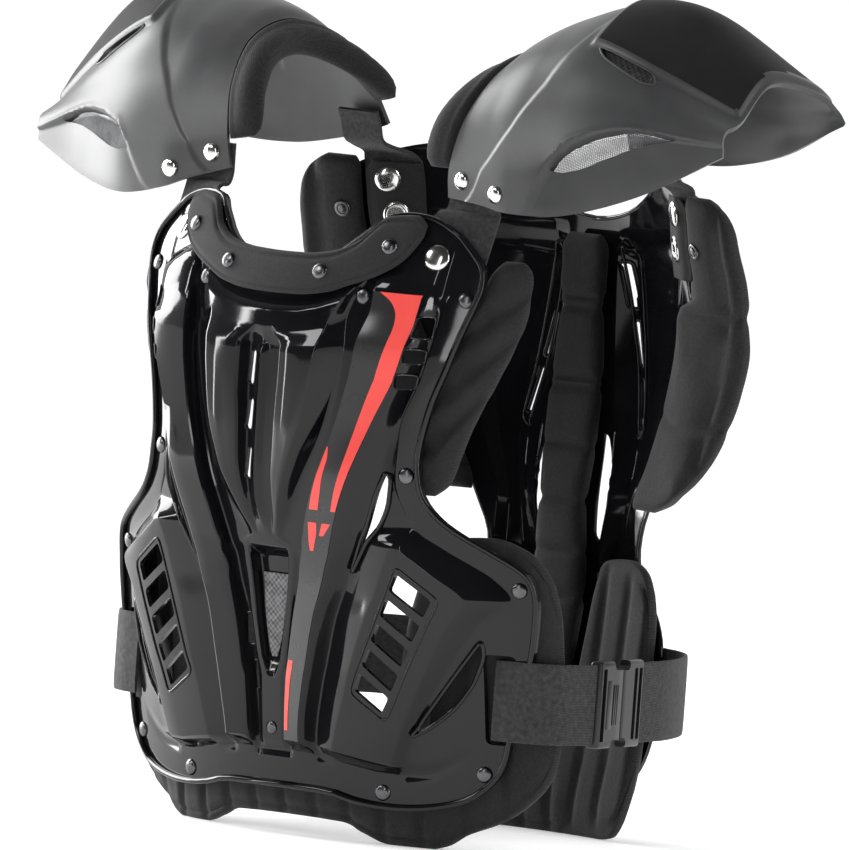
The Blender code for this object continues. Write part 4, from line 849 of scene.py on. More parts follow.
def cup_grids():
    """The cup's smooth face, its inward normals and its outer face with the relief."""
    base = cup_points()
    normal = normals_of(base)
    rows, cols = base.shape[:2]
    v = np.repeat(np.arange(rows)[:, None] / CUP_ROW_PARTS, cols, axis=1)
    u = np.repeat(np.arange(cols)[None, :] / CUP_COLUMN_PARTS, rows, axis=0)
    outer = base + normal * cup_relief(v, u)[..., None]
    return base, normal, outer


def cup_shell(name, side):
    _, normal, outer = cup_grids()
    inner = outer + normal * CUP_WALL
    shell = grid_piece(name, cup_turn(outer, side))
    back = grid_piece(name + "_inner", cup_turn(inner, side))
    rim_outer, rim_inner = rim_of(outer), rim_of(inner)
    swell = np.concatenate([rim_outer[None], ((rim_outer + rim_inner) / 2.0)[None], rim_inner[None]])
    swell = np.concatenate([swell, swell[:, :1]], axis=1)
    wall = grid_piece(name + "_wall", cup_turn(swell, side))
    shell = close_seams(weld(name, [shell, back, wall]))
    cutters = []
    for spots in (LENS, UPPER_SLOT):
        line = rounded(spots, 0.10, 4)
        places = cup_place(line, outer)
        loops = []
        for push in (-0.012, 0.016):
            moved = np.array(places) + np.array((0.0, push, push * -0.55))
            loops.append(cup_turn(moved, side))
        cutters.append(tube_piece(name + "_cutter", loops))
    carve(shell, weld(name + "_cutters", cutters))
    soften(shell, 45)
    slot_line = cup_turn(np.array(cup_place(finer(rounded(UPPER_SLOT, 0.10, 4), 0.05), outer)), side)
    slot_bead = soften(bead(name + "_slot_bead", slot_line, CUP_SLOT_BEAD), 60)
    return weld(name, [shell, slot_bead])


# The outline of the dull facet on a cup's crown, as (row, column)
CROWN = [
    (3.16, 2.98), (3.16, 4.86), (3.60, 4.90), (4.60, 4.80), (5.50, 4.70), (5.50, 3.05), (4.40, 3.00),
    (3.65, 3.00),
]


def dull_crown(cup, side, finish):
    """Gives the faces of a cup's crown the second finish."""
    _, _, outer = cup_grids()
    cols = outer.shape[1]
    turned = cup_turn(outer, side).reshape(-1, 3)
    tree = KDTree(len(turned))
    for number, spot in enumerate(turned):
        tree.insert(spot, number)
    tree.balance()
    cup.data.materials.append(finish)
    low_row, high_row = min(v for v, _ in CROWN), max(v for v, _ in CROWN)
    far = sorted((v, u) for v, u in CROWN if u > 4.0)
    near = sorted((v, u) for v, u in CROWN if u < 4.0)
    for face in cup.data.polygons:
        _, number, gap = tree.find(face.center)
        v = number // cols / CUP_ROW_PARTS
        u = number % cols / CUP_COLUMN_PARTS
        if gap > 0.0026 or not low_row <= v <= high_row:
            continue
        left = np.interp(v, [r for r, _ in near], [c for _, c in near])
        right = np.interp(v, [r for r, _ in far], [c for _, c in far])
        if left <= u <= right:
            face.material_index = 1


def cup_mesh(name, side):
    """The wire mesh behind the side opening, a fine grid turned into crossed wires."""
    _, normal, outer = cup_grids()
    inset = outer + normal * (CUP_WALL + 0.0006)
    vs = np.linspace(0.70, 1.48, 24)
    us = np.linspace(2.62, 4.52, 68)
    spots = [cup_place([(v, u) for u in us], inset) for v in vs]
    item = grid_piece(name, cup_turn(np.array(spots), side))
    apply_step(item, "WIREFRAME", thickness=WIRE_THICK, use_even_offset=False)
    return item


def cup_lining(name, side):
    base, normal, _ = cup_grids()
    inset = base + normal * (CUP_WALL + 0.0012)
    vs = np.linspace(1.55, 5.4, 60)
    us = np.linspace(0.55, 3.9, 56)
    spots = [cup_place([(v, u) for u in us], inset) for v in vs]
    item = grid_piece(name, cup_turn(np.array(spots), side))
    apply_step(item, "SOLIDIFY", thickness=LINER_THICK, offset=1.0)
    return soften(item, 60)


def neck_roll(name, side):
    """The padded roll along a cup's neck edge, with its bound seam."""
    base, _, _ = cup_grids()
    rows = np.arange(int(0.9 * CUP_ROW_PARTS), int(6.6 * CUP_ROW_PARTS), 3)
    edge = base[rows, 0]
    away = edge - base[rows, CUP_COLUMN_PARTS // 2]
    away = away / np.linalg.norm(away, axis=1, keepdims=True)
    along = np.gradient(edge, axis=0)
    along = along / np.linalg.norm(along, axis=1, keepdims=True)
    up = np.cross(along, away)
    up = up / np.linalg.norm(up, axis=1, keepdims=True)
    rise = np.stack([0 * edge[:, 0], edge[:, 1] - edge[len(edge) // 2, 1], edge[:, 2] - 4.4 * HAND], axis=1)
    up = np.where((up * rise).sum(axis=1, keepdims=True) < 0.0, -up, up)
    share = np.linspace(0.0, 1.0, len(rows))
    end = np.sqrt(np.clip(1.0 - (2.0 * np.abs(share - 0.5)) ** 10, 0.05, 1.0))
    wide = ROLL_HALF_WIDE * (0.70 + 0.30 * end)
    thick = ROLL_HALF_TALL * end
    centre = edge + away * (wide[:, None] + 0.0006) - up * ROLL_DROP
    turn = np.linspace(0.0, 2.0 * math.pi, 28, endpoint=False)
    flat = np.sign(np.cos(turn)) * np.abs(np.cos(turn)) ** 0.75
    tall = np.sin(turn)
    pinch = 1.0 - 0.22 * np.exp(-((flat + 0.45) / 0.16) ** 2)
    loops = centre[:, None, :] + away[:, None, :] * (wide[:, None, None] * flat[None, :, None])
    loops = loops + up[:, None, :] * (thick[:, None, None] * (tall * pinch)[None, :, None])
    return soften(tube_piece(name, cup_turn(loops, side)), 60)


# Straps, shares of HAND
STRAP_FRONT = [
    (1.44, 0.288), (1.50, 0.302), (1.57, 0.320), (1.64, 0.355), (1.70, 0.400), (1.775, 0.50), (1.80, 0.66),
    (1.80, 0.82),
]
STRAP_REAR = [
    (1.688, 1.3745), (1.62, 1.72), (1.48, 2.03), (1.30, 2.30), (1.12, 2.45), (0.98, 2.515), (0.86, 2.562),
]
BUCKLE_FRONT = ((1.798, 0.8240), (1.745, 1.10))
BUCKLE_REAR = ((1.744, 1.106), (1.69, 1.37))
BUCKLE_TALL = 0.054
BUCKLE_THICK = 0.0095
STRAP_SHOULDER = [
    (3.36, None, None), (3.50, None, None), (3.90, None, None),
    (3.95, 0.165, 0.225), (4.01, 0.198, 0.208), (4.08, 0.202, 0.182), (4.20, 0.202, 0.162),
]
STRAP_BACK = [
    (3.60, None, None), (3.72, None, None), (3.86, None, None), (3.98, None, None),
    (4.06, None, None), (4.12, 2.09, 1.99), (4.16, 1.90, 1.88), (4.20, 1.80, 1.80), (4.30, 1.762, 1.762),
    (4.38, 1.722, 1.722),
]
SHOULDER_EDGES = (0.88, 1.07, 1.26)
BACK_EDGES = (1.02, 1.19, 1.33)
BAND_RING = 28


def band(name, centre, side_way, wide, thick):
    """A flat band with softly rounded edges along centre points; side_way points across it."""
    centre = np.asarray(centre, float)
    along = np.gradient(centre, axis=0)
    along = along / np.linalg.norm(along, axis=1, keepdims=True)
    side = side_way - along * (along * side_way).sum(axis=1, keepdims=True)
    side = side / np.linalg.norm(side, axis=1, keepdims=True)
    face = np.cross(along, side)
    turn = np.linspace(0.0, 2.0 * math.pi, BAND_RING, endpoint=False)
    flat = np.sign(np.cos(turn)) * np.abs(np.cos(turn)) ** 0.30
    tall = np.sign(np.sin(turn)) * np.abs(np.sin(turn)) ** 0.55
    loops = centre[:, None, :] + side[:, None, :] * (0.5 * wide * flat[None, :, None])
    loops = loops + face[:, None, :] * (0.5 * thick * tall[None, :, None])
    return soften(tube_piece(name, loops), 60)


def side_band(name, points, side):
    line = np.array([(x, y, SIDE_HEIGHT) for x, y in flowing(points, 10, False)]) * HAND * (side, 1.0, 1.0)
    line = line + np.array((SIDE_SHIFT, DEPTH_SHIFT, 0.0))
    return band(name, line, np.array((0.0, 0.0, 1.0)), SIDE_STRAP_TALL, STRAP_THICK)


def shoulder_band(name, bends, edges, side, surface, seat_out):
    rows = []
    for z, inner, outer in bends:
        line = []
        for number, x in enumerate(edges):
            place = surface(side * x * HAND, z * HAND, seat_out)
            if inner is not None:
                share = number / (len(edges) - 1)
                depth = (inner + (outer - inner) * share) * HAND + DEPTH_SHIFT
                place = np.array((place[0], depth, place[2]))
            line.append(place)
        rows.append(line)
    rows = np.array(rows)
    fine = np.array([flowing(list(column), 5, False) for column in rows.transpose(1, 0, 2)])
    fine = fine.transpose(1, 0, 2)
    fine = np.array([flowing(list(row), 6, False) for row in fine])
    along = np.gradient(fine, axis=0)
    sideways = np.gradient(fine, axis=1)
    face = np.cross(sideways, along)
    face = face / np.linalg.norm(face, axis=-1, keepdims=True) * (STRAP_THICK / 2)
    loops = np.concatenate([fine - face, (fine + face)[:, ::-1]], axis=1)
    return soften(tube_piece(name, loops), 50)


def chamfered_box(name, centre, axes, sizes, bevel, segments=3):
    bpy.ops.object.select_all(action="DESELECT")
    bpy.ops.mesh.primitive_cube_add(size=1.0)
    item = bpy.context.active_object
    item.name = name
    turn = Matrix([list(axis) for axis in axes]).transposed().to_4x4()
    scale = Matrix.Diagonal((*sizes, 1.0))
    item.data.transform(Matrix.Translation(Vector(centre)) @ turn @ scale)
    close_seams(item)
    apply_step(item, "BEVEL", width=bevel, segments=segments, limit_method="ANGLE")
    return soften(item, 40)


def buckle_axes(ends, side):
    height = SIDE_HEIGHT * HAND
    start, end = [Vector((side * x * HAND + SIDE_SHIFT, y * HAND + DEPTH_SHIFT, height)) for x, y in ends]
    along = (end - start).normalized()
    up = Vector((0.0, 0.0, 1.0))
    face = along.cross(up).normalized()
    if face.x * side < 0.0:
        face = -face
    return start, end, along, up, face


def buckle_socket(name, side):
    start, end, along, up, face = buckle_axes(BUCKLE_FRONT, side)
    axes = (along, up, face)
    length = (end - start).length
    middle = (start + end) / 2
    body = chamfered_box(name, middle, axes, (length, BUCKLE_TALL, BUCKLE_THICK), 0.0022)
    cutters = []
    for rise in (1, -1):
        spot = middle + along * (0.30 * length) + up * (rise * BUCKLE_TALL * 0.5)
        cutters.append(chamfered_box(name + "_side", spot, axes, (length * 0.46, 0.011, 0.02), 0.003))
    spot = middle - along * (0.36 * length)
    cutters.append(chamfered_box(name + "_bar", spot, axes, (0.0042, BUCKLE_TALL * 0.84, 0.02), 0.0008))
    carve(body, weld(name + "_cutters", cutters))
    extras = []
    wide = 0.0016
    for place in (0.08, 0.16, 0.24):
        spot = middle + along * (place * length) + face * (BUCKLE_THICK / 2)
        size = (wide, BUCKLE_TALL * 0.46, 0.0012)
        extras.append(chamfered_box(name + "_rib", spot, axes, size, 0.0004, 2))
    spot = middle - along * (0.10 * length) + face * (BUCKLE_THICK / 2)
    size = (length * 0.20, BUCKLE_TALL * 0.56, 0.0010)
    extras.append(chamfered_box(name + "_pad", spot, axes, size, 0.0004, 2))
    return weld(name, [soften(body, 40)] + extras)


def buckle_prong(name, side):
    start, end, along, up, face = buckle_axes(BUCKLE_REAR, side)
    axes = (along, up, face)
    length = (end - start).length
    middle = (start + end) / 2
    thick = BUCKLE_THICK * 0.8
    body = chamfered_box(name, middle + along * 0.0005, axes, (length - 0.001, BUCKLE_TALL, thick), 0.0020)
    cutters = []
    for place in (0.12, 0.34):
        spot = middle + along * (place * length)
        size = (0.0040, BUCKLE_TALL * 0.82, 0.02)
        cutters.append(chamfered_box(name + "_ladder", spot, axes, size, 0.0008))
    for rise in (1, -1):
        spot = middle - along * (0.34 * length) + up * (rise * BUCKLE_TALL * 0.5)
        cutters.append(chamfered_box(name + "_notch", spot, axes, (length * 0.30, 0.012, 0.02), 0.003))
    carve(body, weld(name + "_cutters", cutters))
    return soften(body, 40)


# Rivets
def turned_cap(name, radius, profile, sides=28):
    """A cap built up from a disc by extruding rings: share of the radius and height."""
    bpy.ops.object.select_all(action="DESELECT")
    bpy.ops.mesh.primitive_circle_add(vertices=sides, radius=radius * profile[0][0], fill_type="NGON")
    item = bpy.context.active_object
    item.name = name
    bpy.ops.object.mode_set(mode="EDIT")
    bpy.ops.mesh.select_all(action="SELECT")
    share, height = profile[0]
    bpy.ops.transform.translate(value=(0.0, 0.0, height * radius))
    for next_share, next_height in profile[1:]:
        rise = (next_height - height) * radius
        bpy.ops.mesh.extrude_region_move(TRANSFORM_OT_translate={"value": (0.0, 0.0, rise)})
        size = next_share / share
        bpy.ops.transform.resize(value=(size, size, 1.0))
        share, height = next_share, next_height
    bpy.ops.mesh.select_all(action="SELECT")
    bpy.ops.mesh.normals_make_consistent(inside=False)
    bpy.ops.object.mode_set(mode="OBJECT")
    return soften(item, 50)


def copy_at(master, name, spot, normal, sink=0.0):
    mesh = master.data.copy()
    item = bpy.data.objects.new(name, mesh)
    bpy.context.scene.collection.objects.link(item)
    turn = normal.to_track_quat("Z", "Y").to_matrix().to_4x4()
    mesh.transform(Matrix.Translation(spot - normal * sink) @ turn)
    return item


DOME = [(0.98, 0.0), (1.0, 0.06), (0.99, 0.13), (0.95, 0.21), (0.86, 0.31), (0.72, 0.39), (0.52, 0.45),
        (0.28, 0.485), (0.08, 0.495)]
BROAD_DOME = [(0.98, 0.0), (1.0, 0.05), (0.98, 0.11), (0.93, 0.17), (0.84, 0.24), (0.70, 0.30),
              (0.50, 0.345), (0.28, 0.37), (0.08, 0.375)]
WASHER = [(1.0, 0.0), (1.0, 0.14), (0.94, 0.20), (0.70, 0.20), (0.62, 0.10), (0.56, 0.10), (0.50, 0.26),
          (0.30, 0.32), (0.08, 0.33)]
EYELET_RING = [(0.55, -0.05), (1.0, 0.0), (0.99, 0.09), (0.90, 0.17), (0.76, 0.20), (0.64, 0.16),
               (0.56, 0.04)]

FRONT_RIVETS = [
    ("rivet_shoulder", 1.02, 3.675, "big"), ("rivet_corner", 1.245, 3.43, "small"),
    ("rivet_neck", 0.635, 3.40, "small"), ("rivet_armhole", 0.990, 2.318, "small"),
    ("rivet_flange", 1.580, 1.66, "small"), ("rivet_band", 0.775, 0.33, "small"),
    ("rivet_hip", 1.38, 0.50, "small"),
]
COLLAR_RIVETS = [("rivet_collar_outer", 0.78, 3.72), ("rivet_collar_inner", 0.368, 3.53)]
CUP_RIVETS = [("rivet_cup_inner", 1.01, 4.14), ("rivet_cup_outer", 1.31, 4.05)]
CENTRE_RIVET = 0.66
TAB_RIVET = (1.16, 3.95)
TAB_EYELET = (1.13, 3.73)
BLADE_RIVET = (1.42, 3.74)


def meet(skin, x, z, way=1.0):
    """The spot and outward normal where a line along the depth meets a skin."""
    start = Vector((x, -SKIN_REACH * way, z))
    hit, normal, _, _ = skin.ray_cast(start, Vector((0.0, way, 0.0)))
    if normal.y * way > 0.0:
        normal = -normal
    return hit, normal


# Finishes
def shader_of(name, colour, roughness, metallic=0.0):
    finish = bpy.data.materials.new(name)
    finish.use_nodes = True
    tree = finish.node_tree
    shader = tree.nodes["Principled BSDF"]
    shader.inputs["Base Color"].default_value = (*colour, 1.0)
    shader.inputs["Roughness"].default_value = roughness
    shader.inputs["Metallic"].default_value = metallic
    return finish, tree, shader


def add_node(tree, kind, **values):
    node = tree.nodes.new(kind)
    for key, value in values.items():
        setattr(node, key, value)
    return node


def math_of(tree, operation, first, second):
    node = tree.nodes.new("ShaderNodeMath")
    node.operation = operation
    for socket, value in zip(node.inputs, (first, second)):
        if isinstance(value, (int, float)):
            socket.default_value = value
        else:
            tree.links.new(value, socket)
    return node.outputs[0]


def new_group(name, inputs, outputs):
    group = bpy.data.node_groups.new(name, "ShaderNodeTree")
    for label, kind, value in inputs:
        socket = group.interface.new_socket(label, in_out="INPUT", socket_type=kind)
        if value is not None:
            socket.default_value = value
    for label, kind in outputs:
        group.interface.new_socket(label, in_out="OUTPUT", socket_type=kind)
    return group, group.nodes.new("NodeGroupInput"), group.nodes.new("NodeGroupOutput")


def grain_group():
    """Fine moulding grain with soft smudges: a height and a tone."""
    group, feed, result = new_group(
        "moulding_grain",
        [("Vector", "NodeSocketVector", None), ("Grain", "NodeSocketFloat", 900.0),
         ("Smudge", "NodeSocketFloat", 14.0)],
        [("Height", "NodeSocketFloat"), ("Tone", "NodeSocketFloat")])
    fine = add_node(group, "ShaderNodeTexNoise")
    fine.inputs["Detail"].default_value = 4.0
    smudge = add_node(group, "ShaderNodeTexNoise")
    smudge.inputs["Detail"].default_value = 5.0
    smudge.inputs["Roughness"].default_value = 0.62
    for node, label in ((fine, "Grain"), (smudge, "Smudge")):
        group.links.new(feed.outputs["Vector"], node.inputs["Vector"])
        group.links.new(feed.outputs[label], node.inputs["Scale"])
    group.links.new(fine.outputs["Fac"], result.inputs["Height"])
    group.links.new(smudge.outputs["Fac"], result.inputs["Tone"])
    return group


def weave_group():
    """Crossed yarns: a height and a tone from two crossed waves and a little noise."""
    group, feed, result = new_group(
        "crossed_yarns",
        [("Vector", "NodeSocketVector", None), ("Across", "NodeSocketFloat", 4000.0),
         ("Along", "NodeSocketFloat", 4000.0), ("Fuzz", "NodeSocketFloat", 1500.0)],
        [("Height", "NodeSocketFloat"), ("Tone", "NodeSocketFloat")])
    split = add_node(group, "ShaderNodeSeparateXYZ")
    group.links.new(feed.outputs["Vector"], split.inputs[0])
    across_turn = math_of(group, "MULTIPLY", split.outputs["X"], feed.outputs["Across"])
    along_turn = math_of(group, "MULTIPLY", split.outputs["Z"], feed.outputs["Along"])
    first = math_of(group, "SINE", across_turn, 0.0)
    second = math_of(group, "SINE", along_turn, 0.0)
    woven = math_of(group, "MULTIPLY", first, second)
    fuzz = add_node(group, "ShaderNodeTexNoise")
    fuzz.inputs["Detail"].default_value = 3.0
    group.links.new(feed.outputs["Vector"], fuzz.inputs["Vector"])
    group.links.new(feed.outputs["Fuzz"], fuzz.inputs["Scale"])
    height = math_of(group, "ADD", math_of(group, "MULTIPLY", woven, 0.35), fuzz.outputs["Fac"])
    tone = math_of(group, "ADD", math_of(group, "MULTIPLY", woven, 0.25), 0.5)
    fluff = math_of(group, "SUBTRACT", fuzz.outputs["Fac"], 0.5)
    tone = math_of(group, "ADD", tone, math_of(group, "MULTIPLY", fluff, 0.9))
    group.links.new(height, result.inputs["Height"])
    group.links.new(tone, result.inputs["Tone"])
    return group


def place_group(tree, group, vector, **values):
    node = tree.nodes.new("ShaderNodeGroup")
    node.node_tree = group
    tree.links.new(vector, node.inputs["Vector"])
    for key, value in values.items():
        node.inputs[key].default_value = value
    return node


def tint(tree, fac, dark, light, low=0.35, high=0.65):
    scale = tree.nodes.new("ShaderNodeValToRGB")
    scale.color_ramp.elements[0].position = low
    scale.color_ramp.elements[0].color = (*dark, 1.0)
    scale.color_ramp.elements[1].position = high
    scale.color_ramp.elements[1].color = (*light, 1.0)
    tree.links.new(fac, scale.inputs["Fac"])
    return scale.outputs["Color"]


def spread(tree, fac, low, high):
    scale = tree.nodes.new("ShaderNodeMapRange")
    scale.inputs["To Min"].default_value = low
    scale.inputs["To Max"].default_value = high
    tree.links.new(fac, scale.inputs["Value"])
    return scale.outputs[0]


def raised(tree, shader, height, strength, distance):
    bump = tree.nodes.new("ShaderNodeBump")
    bump.inputs["Strength"].default_value = strength
    bump.inputs["Distance"].default_value = distance
    tree.links.new(height, bump.inputs["Height"])
    tree.links.new(bump.outputs["Normal"], shader.inputs["Normal"])


def plastic(name, dark, light, rough_low, rough_high, grain, bump, gleam=0.5, smudge=14.0):
    finish, tree, shader = shader_of(name, dark, rough_low)
    spot = add_node(tree, "ShaderNodeTexCoord").outputs["Object"]
    effect = place_group(tree, GRAIN, spot, Grain=grain, Smudge=smudge)
    tree.links.new(tint(tree, effect.outputs["Tone"], dark, light), shader.inputs["Base Color"])
    tree.links.new(spread(tree, effect.outputs["Tone"], rough_low, rough_high), shader.inputs["Roughness"])
    shader.inputs["Specular IOR Level"].default_value = gleam
    raised(tree, shader, effect.outputs["Height"], bump, 0.0002)
    return finish


def cloth(name, dark, light, pitch, bump, sheen, along=None):
    finish, tree, shader = shader_of(name, dark, 0.9)
    spot = add_node(tree, "ShaderNodeTexCoord").outputs["Object"]
    across_turns = 2.0 * math.pi / pitch
    along_turns = 2.0 * math.pi / (along or pitch)
    effect = place_group(tree, WEAVE, spot, Across=across_turns, Along=along_turns, Fuzz=0.9 / pitch)
    tree.links.new(tint(tree, effect.outputs["Tone"], dark, light, 0.2, 0.9), shader.inputs["Base Color"])
    tree.links.new(spread(tree, effect.outputs["Tone"], 0.95, 0.75), shader.inputs["Roughness"])
    shader.inputs["Sheen Weight"].default_value = sheen
    shader.inputs["Sheen Roughness"].default_value = 0.45
    raised(tree, shader, effect.outputs["Height"], bump, 0.0004)
    return finish


def metal(name, dark, light, rough_low, rough_high):
    finish, tree, shader = shader_of(name, dark, rough_low, 1.0)
    spot = add_node(tree, "ShaderNodeTexCoord").outputs["Object"]
    effect = place_group(tree, GRAIN, spot, Grain=1400.0, Smudge=160.0)
    tree.links.new(tint(tree, effect.outputs["Tone"], dark, light), shader.inputs["Base Color"])
    tree.links.new(spread(tree, effect.outputs["Tone"], rough_low, rough_high), shader.inputs["Roughness"])
    raised(tree, shader, effect.outputs["Height"], 0.05, 0.0001)
    return finish


GRAIN = grain_group()
WEAVE = weave_group()
GLOSS_BLACK = plastic(
    "gloss_black", (0.004, 0.004, 0.005), (0.007, 0.007, 0.008),
    0.05, 0.10, 700.0, 0.02, 0.34)
CUP_GREY = plastic(
    "cup_grey", (0.032, 0.0325, 0.034), (0.046, 0.0465, 0.048),
    0.32, 0.42, 1500.0, 0.10, 0.40, 20.0)
CROWN_BLACK = plastic(
    "crown_black", (0.008, 0.008, 0.009), (0.014, 0.014, 0.015),
    0.50, 0.62, 2200.0, 0.14, 0.12)
FILM_GREY = plastic("film_grey", (0.014, 0.014, 0.015), (0.022, 0.022, 0.023), 0.22, 0.32, 1800.0, 0.06)
FILM_CORAL = plastic("film_coral", (0.76, 0.055, 0.045), (0.84, 0.075, 0.060), 0.34, 0.42, 1800.0, 0.05)
BUCKLE_BLACK = plastic(
    "buckle_black", (0.010, 0.010, 0.011), (0.020, 0.020, 0.021),
    0.30, 0.42, 1800.0, 0.12)
BADGE_GREY = cloth("badge_hatch", (0.05, 0.05, 0.052), (0.24, 0.24, 0.245), 0.0036, 0.8, 0.0)
PAD_KNIT = cloth("pad_knit", (0.003, 0.003, 0.0035), (0.013, 0.013, 0.0135), 0.0016, 0.55, 0.05)
BINDING = cloth("binding_tape", (0.006, 0.006, 0.007), (0.016, 0.016, 0.017), 0.0011, 0.45, 0.06)
MESH_KNIT = cloth("mesh_knit", (0.004, 0.004, 0.005), (0.060, 0.060, 0.062), 0.0030, 0.9, 0.20)
WEBBING = cloth("elastic_webbing", (0.008, 0.008, 0.009), (0.050, 0.050, 0.052), 0.0026, 0.75, 0.06, 0.0010)
NICKEL = metal("polished_nickel", (0.66, 0.65, 0.63), (0.80, 0.79, 0.77), 0.12, 0.22)
GUNMETAL = metal("dark_nickel", (0.085, 0.085, 0.088), (0.13, 0.13, 0.135), 0.20, 0.32)
WIRE = metal("mesh_wire", (0.34, 0.34, 0.35), (0.50, 0.50, 0.51), 0.28, 0.40)


# Decal films on the long panel of the left side: height, low share and high share across the panel
FILM_PANEL = [(3.44, 0.03, 0.97), (3.30, 0.03, 0.97), (2.0, 0.03, 0.97), (0.60, 0.03, 0.97)]
CORAL_EDGE = [
    (3.44, 0.16, 0.96), (3.38, 0.44, 0.96), (3.30, 0.58, 0.96), (3.18, 0.64, 0.96), (3.02, 0.60, 0.96),
    (2.84, 0.58, 0.96), (2.60, 0.62, 0.96), (2.40, 0.68, 0.96), (2.20, 0.74, 0.96), (2.05, 0.82, 0.96),
]
CORAL_INNER = [
    (2.46, 0.06, 0.09), (2.38, 0.06, 0.20), (2.28, 0.06, 0.24), (2.16, 0.08, 0.34), (2.06, 0.12, 0.40),
]
CORAL_LOW = [(1.98, 0.16, 0.44), (1.90, 0.24, 0.50), (1.80, 0.34, 0.46)]
CORAL_CHIP = [(1.98, 0.62, 0.90), (1.90, 0.60, 0.74)]
CORAL_FOOT = [(1.10, 0.08, 0.34), (0.90, 0.08, 0.32), (0.66, 0.08, 0.30)]


def film(name, rows, side, lift):
    """A thin film on a long panel, its edges given as shares of the panel's width."""
    heights = [row[0] for row in reversed(rows)]
    low = smooth_curve(heights, [row[1] for row in reversed(rows)])
    high = smooth_curve(heights, [row[2] for row in reversed(rows)])
    places = []
    for height in np.arange(rows[0][0], rows[-1][0] - 0.001, -0.02):
        middle = row_for(0.5 * (CREASE_X[7](height) + CREASE_X[8](height)), height)
        line = []
        for part in np.linspace(0.0, 1.0, 9):
            share = float(low(height) + (high(height) - low(height)) * part)
            row = middle
            x = float(CREASE_X[7](row) + share * (CREASE_X[8](row) - CREASE_X[7](row)))
            row = float(row_for(x, height))
            inner, outer = float(CREASE_X[7](row)), float(CREASE_X[8](row))
            x = inner + share * (outer - inner)
            out = crease_out(7, row) + share * (crease_out(8, row) - crease_out(7, row))
            z = float(lifted(x, row))
            line.append(front_at(side * x * HAND, z * HAND, out * HAND + lift))
        places.append(line)
    item = grid_piece(name, places)
    if side < 0:
        edit(item, bpy.ops.mesh.flip_normals)
    apply_step(item, "SOLIDIFY", thickness=FILM_THICK, offset=-1.0)
    return soften(item, 60)


def build_shells():
    front, front_skin = front_moulding()
    settle(front, GLOSS_BLACK, ["front_shell"])
    settle(back_moulding(), GLOSS_BLACK, ["back_shell"])
    return front_skin


def build_films():
    for side, word in SIDES[:1]:
        settle(film("decal_panel_" + word, FILM_PANEL, side, FILM_LIFT), FILM_GREY)
        coral = []
        for number, rows in enumerate((CORAL_EDGE, CORAL_INNER, CORAL_LOW, CORAL_CHIP, CORAL_FOOT)):
            coral.append(film("decal_coral_%d_%s" % (number, word), rows, side, CORAL_LIFT))
        settle(weld("decal_coral_" + word, coral), FILM_CORAL)


BADGE = [(1.62, -0.100, 0.100), (1.40, -0.080, 0.080), (1.20, -0.050, 0.050), (1.10, -0.020, 0.020)]


def build_badge():
    """The small hatched plate in the keel's recess, left bare."""
    places = []
    heights = [row[0] for row in reversed(BADGE)]
    low = smooth_curve(heights, [row[1] for row in reversed(BADGE)])
    high = smooth_curve(heights, [row[2] for row in reversed(BADGE)])
    for height in np.arange(BADGE[0][0], BADGE[-1][0] - 0.001, -0.02):
        xs = np.linspace(float(low(height)), float(high(height)), 9)
        places.append(front_at(xs * HAND, np.full(9, height * HAND), crease_out(0, height) * HAND + 0.0012))
    item = grid_piece("keel_badge", places)
    apply_step(item, "SOLIDIFY", thickness=BADGE_THICK, offset=-1.0)
    apply_step(item, "BEVEL", width=0.0003, segments=2, limit_method="ANGLE")
    settle(soften(item, 40), BADGE_GREY)


def build_pads():
    behind = -(PLATE_WALL + FRONT_CLEAR)
    pads = {}
    for side, word in SIDES:
        pads["front_pad_upper_" + word] = quilted(
            "chest_pad_" + word, sided(UPPER_PAD, side), front_at, behind, PAD_THICK, True,
            seams_on(UPPER_SEAMS, side), 0.045, 0.70, crown=0.30)
        pads["back_pad_" + word] = quilted(
            "blade_pad_" + word, sided(BACK_PAD, side), back_at, -BACK_CLEAR, PAD_THICK, True,
            seams_on(BACK_SEAMS, side), 0.035, 0.40)
    low_seams = [[(x, 0.0), (x, 0.62)] for x in np.arange(-0.96, 0.97, 0.24)]
    low_seams += [[(side * 1.20, 0.05), (side * 1.28, 1.9)] for side in (1, -1)]
    low_seams += [[(side * 1.42, 0.2), (side * 1.50, 1.9)] for side in (1, -1)]
    pads["front_pad_lower"] = quilted(
        "waist_pad", LOWER_PAD, front_at, behind, PAD_THICK, False, low_seams, 0.030, 0.40, edge_wide=0.05)
    pads["spine_pad"] = quilted(
        "spine_cushion", SPINE_PAD, back_at, -BACK_CLEAR, SPINE_THICK, True, SPINE_SEAMS, 0.028, 0.42)
    pads["lumbar_pad"] = quilted(
        "lumbar_cushion", LUMBAR_PAD, back_at, -BACK_CLEAR, LUMBAR_THICK, False, LUMBAR_SEAMS,
        0.035, 0.38, edge_wide=0.05)
    for node, item in pads.items():
        soften(item, 60)
        settle(item, PAD_KNIT, [node])
    collar = quilted(
        "collar_band", COLLAR, front_at, COLLAR_SEAT, COLLAR_THICK, False, edge_wide=0.035, crown=0.10)
    soften(collar, 60)
    settle(collar, BINDING, ["collar_pad"])
    tab_seat = -(STRAP_THICK + 2.0 * BACK_CLEAR + TAB_CLEAR)
    tabs = {}
    for side, word in SIDES:
        tab = quilted(
            "strap_tab_" + word, sided(BACK_TAB, side), back_at, tab_seat, TAB_THICK, True, edge_wide=0.03)
        soften(tab, 60)
        settle(tab, BINDING, ["back_tab_" + word])
        tabs[side] = tab
    return pads, collar, tabs


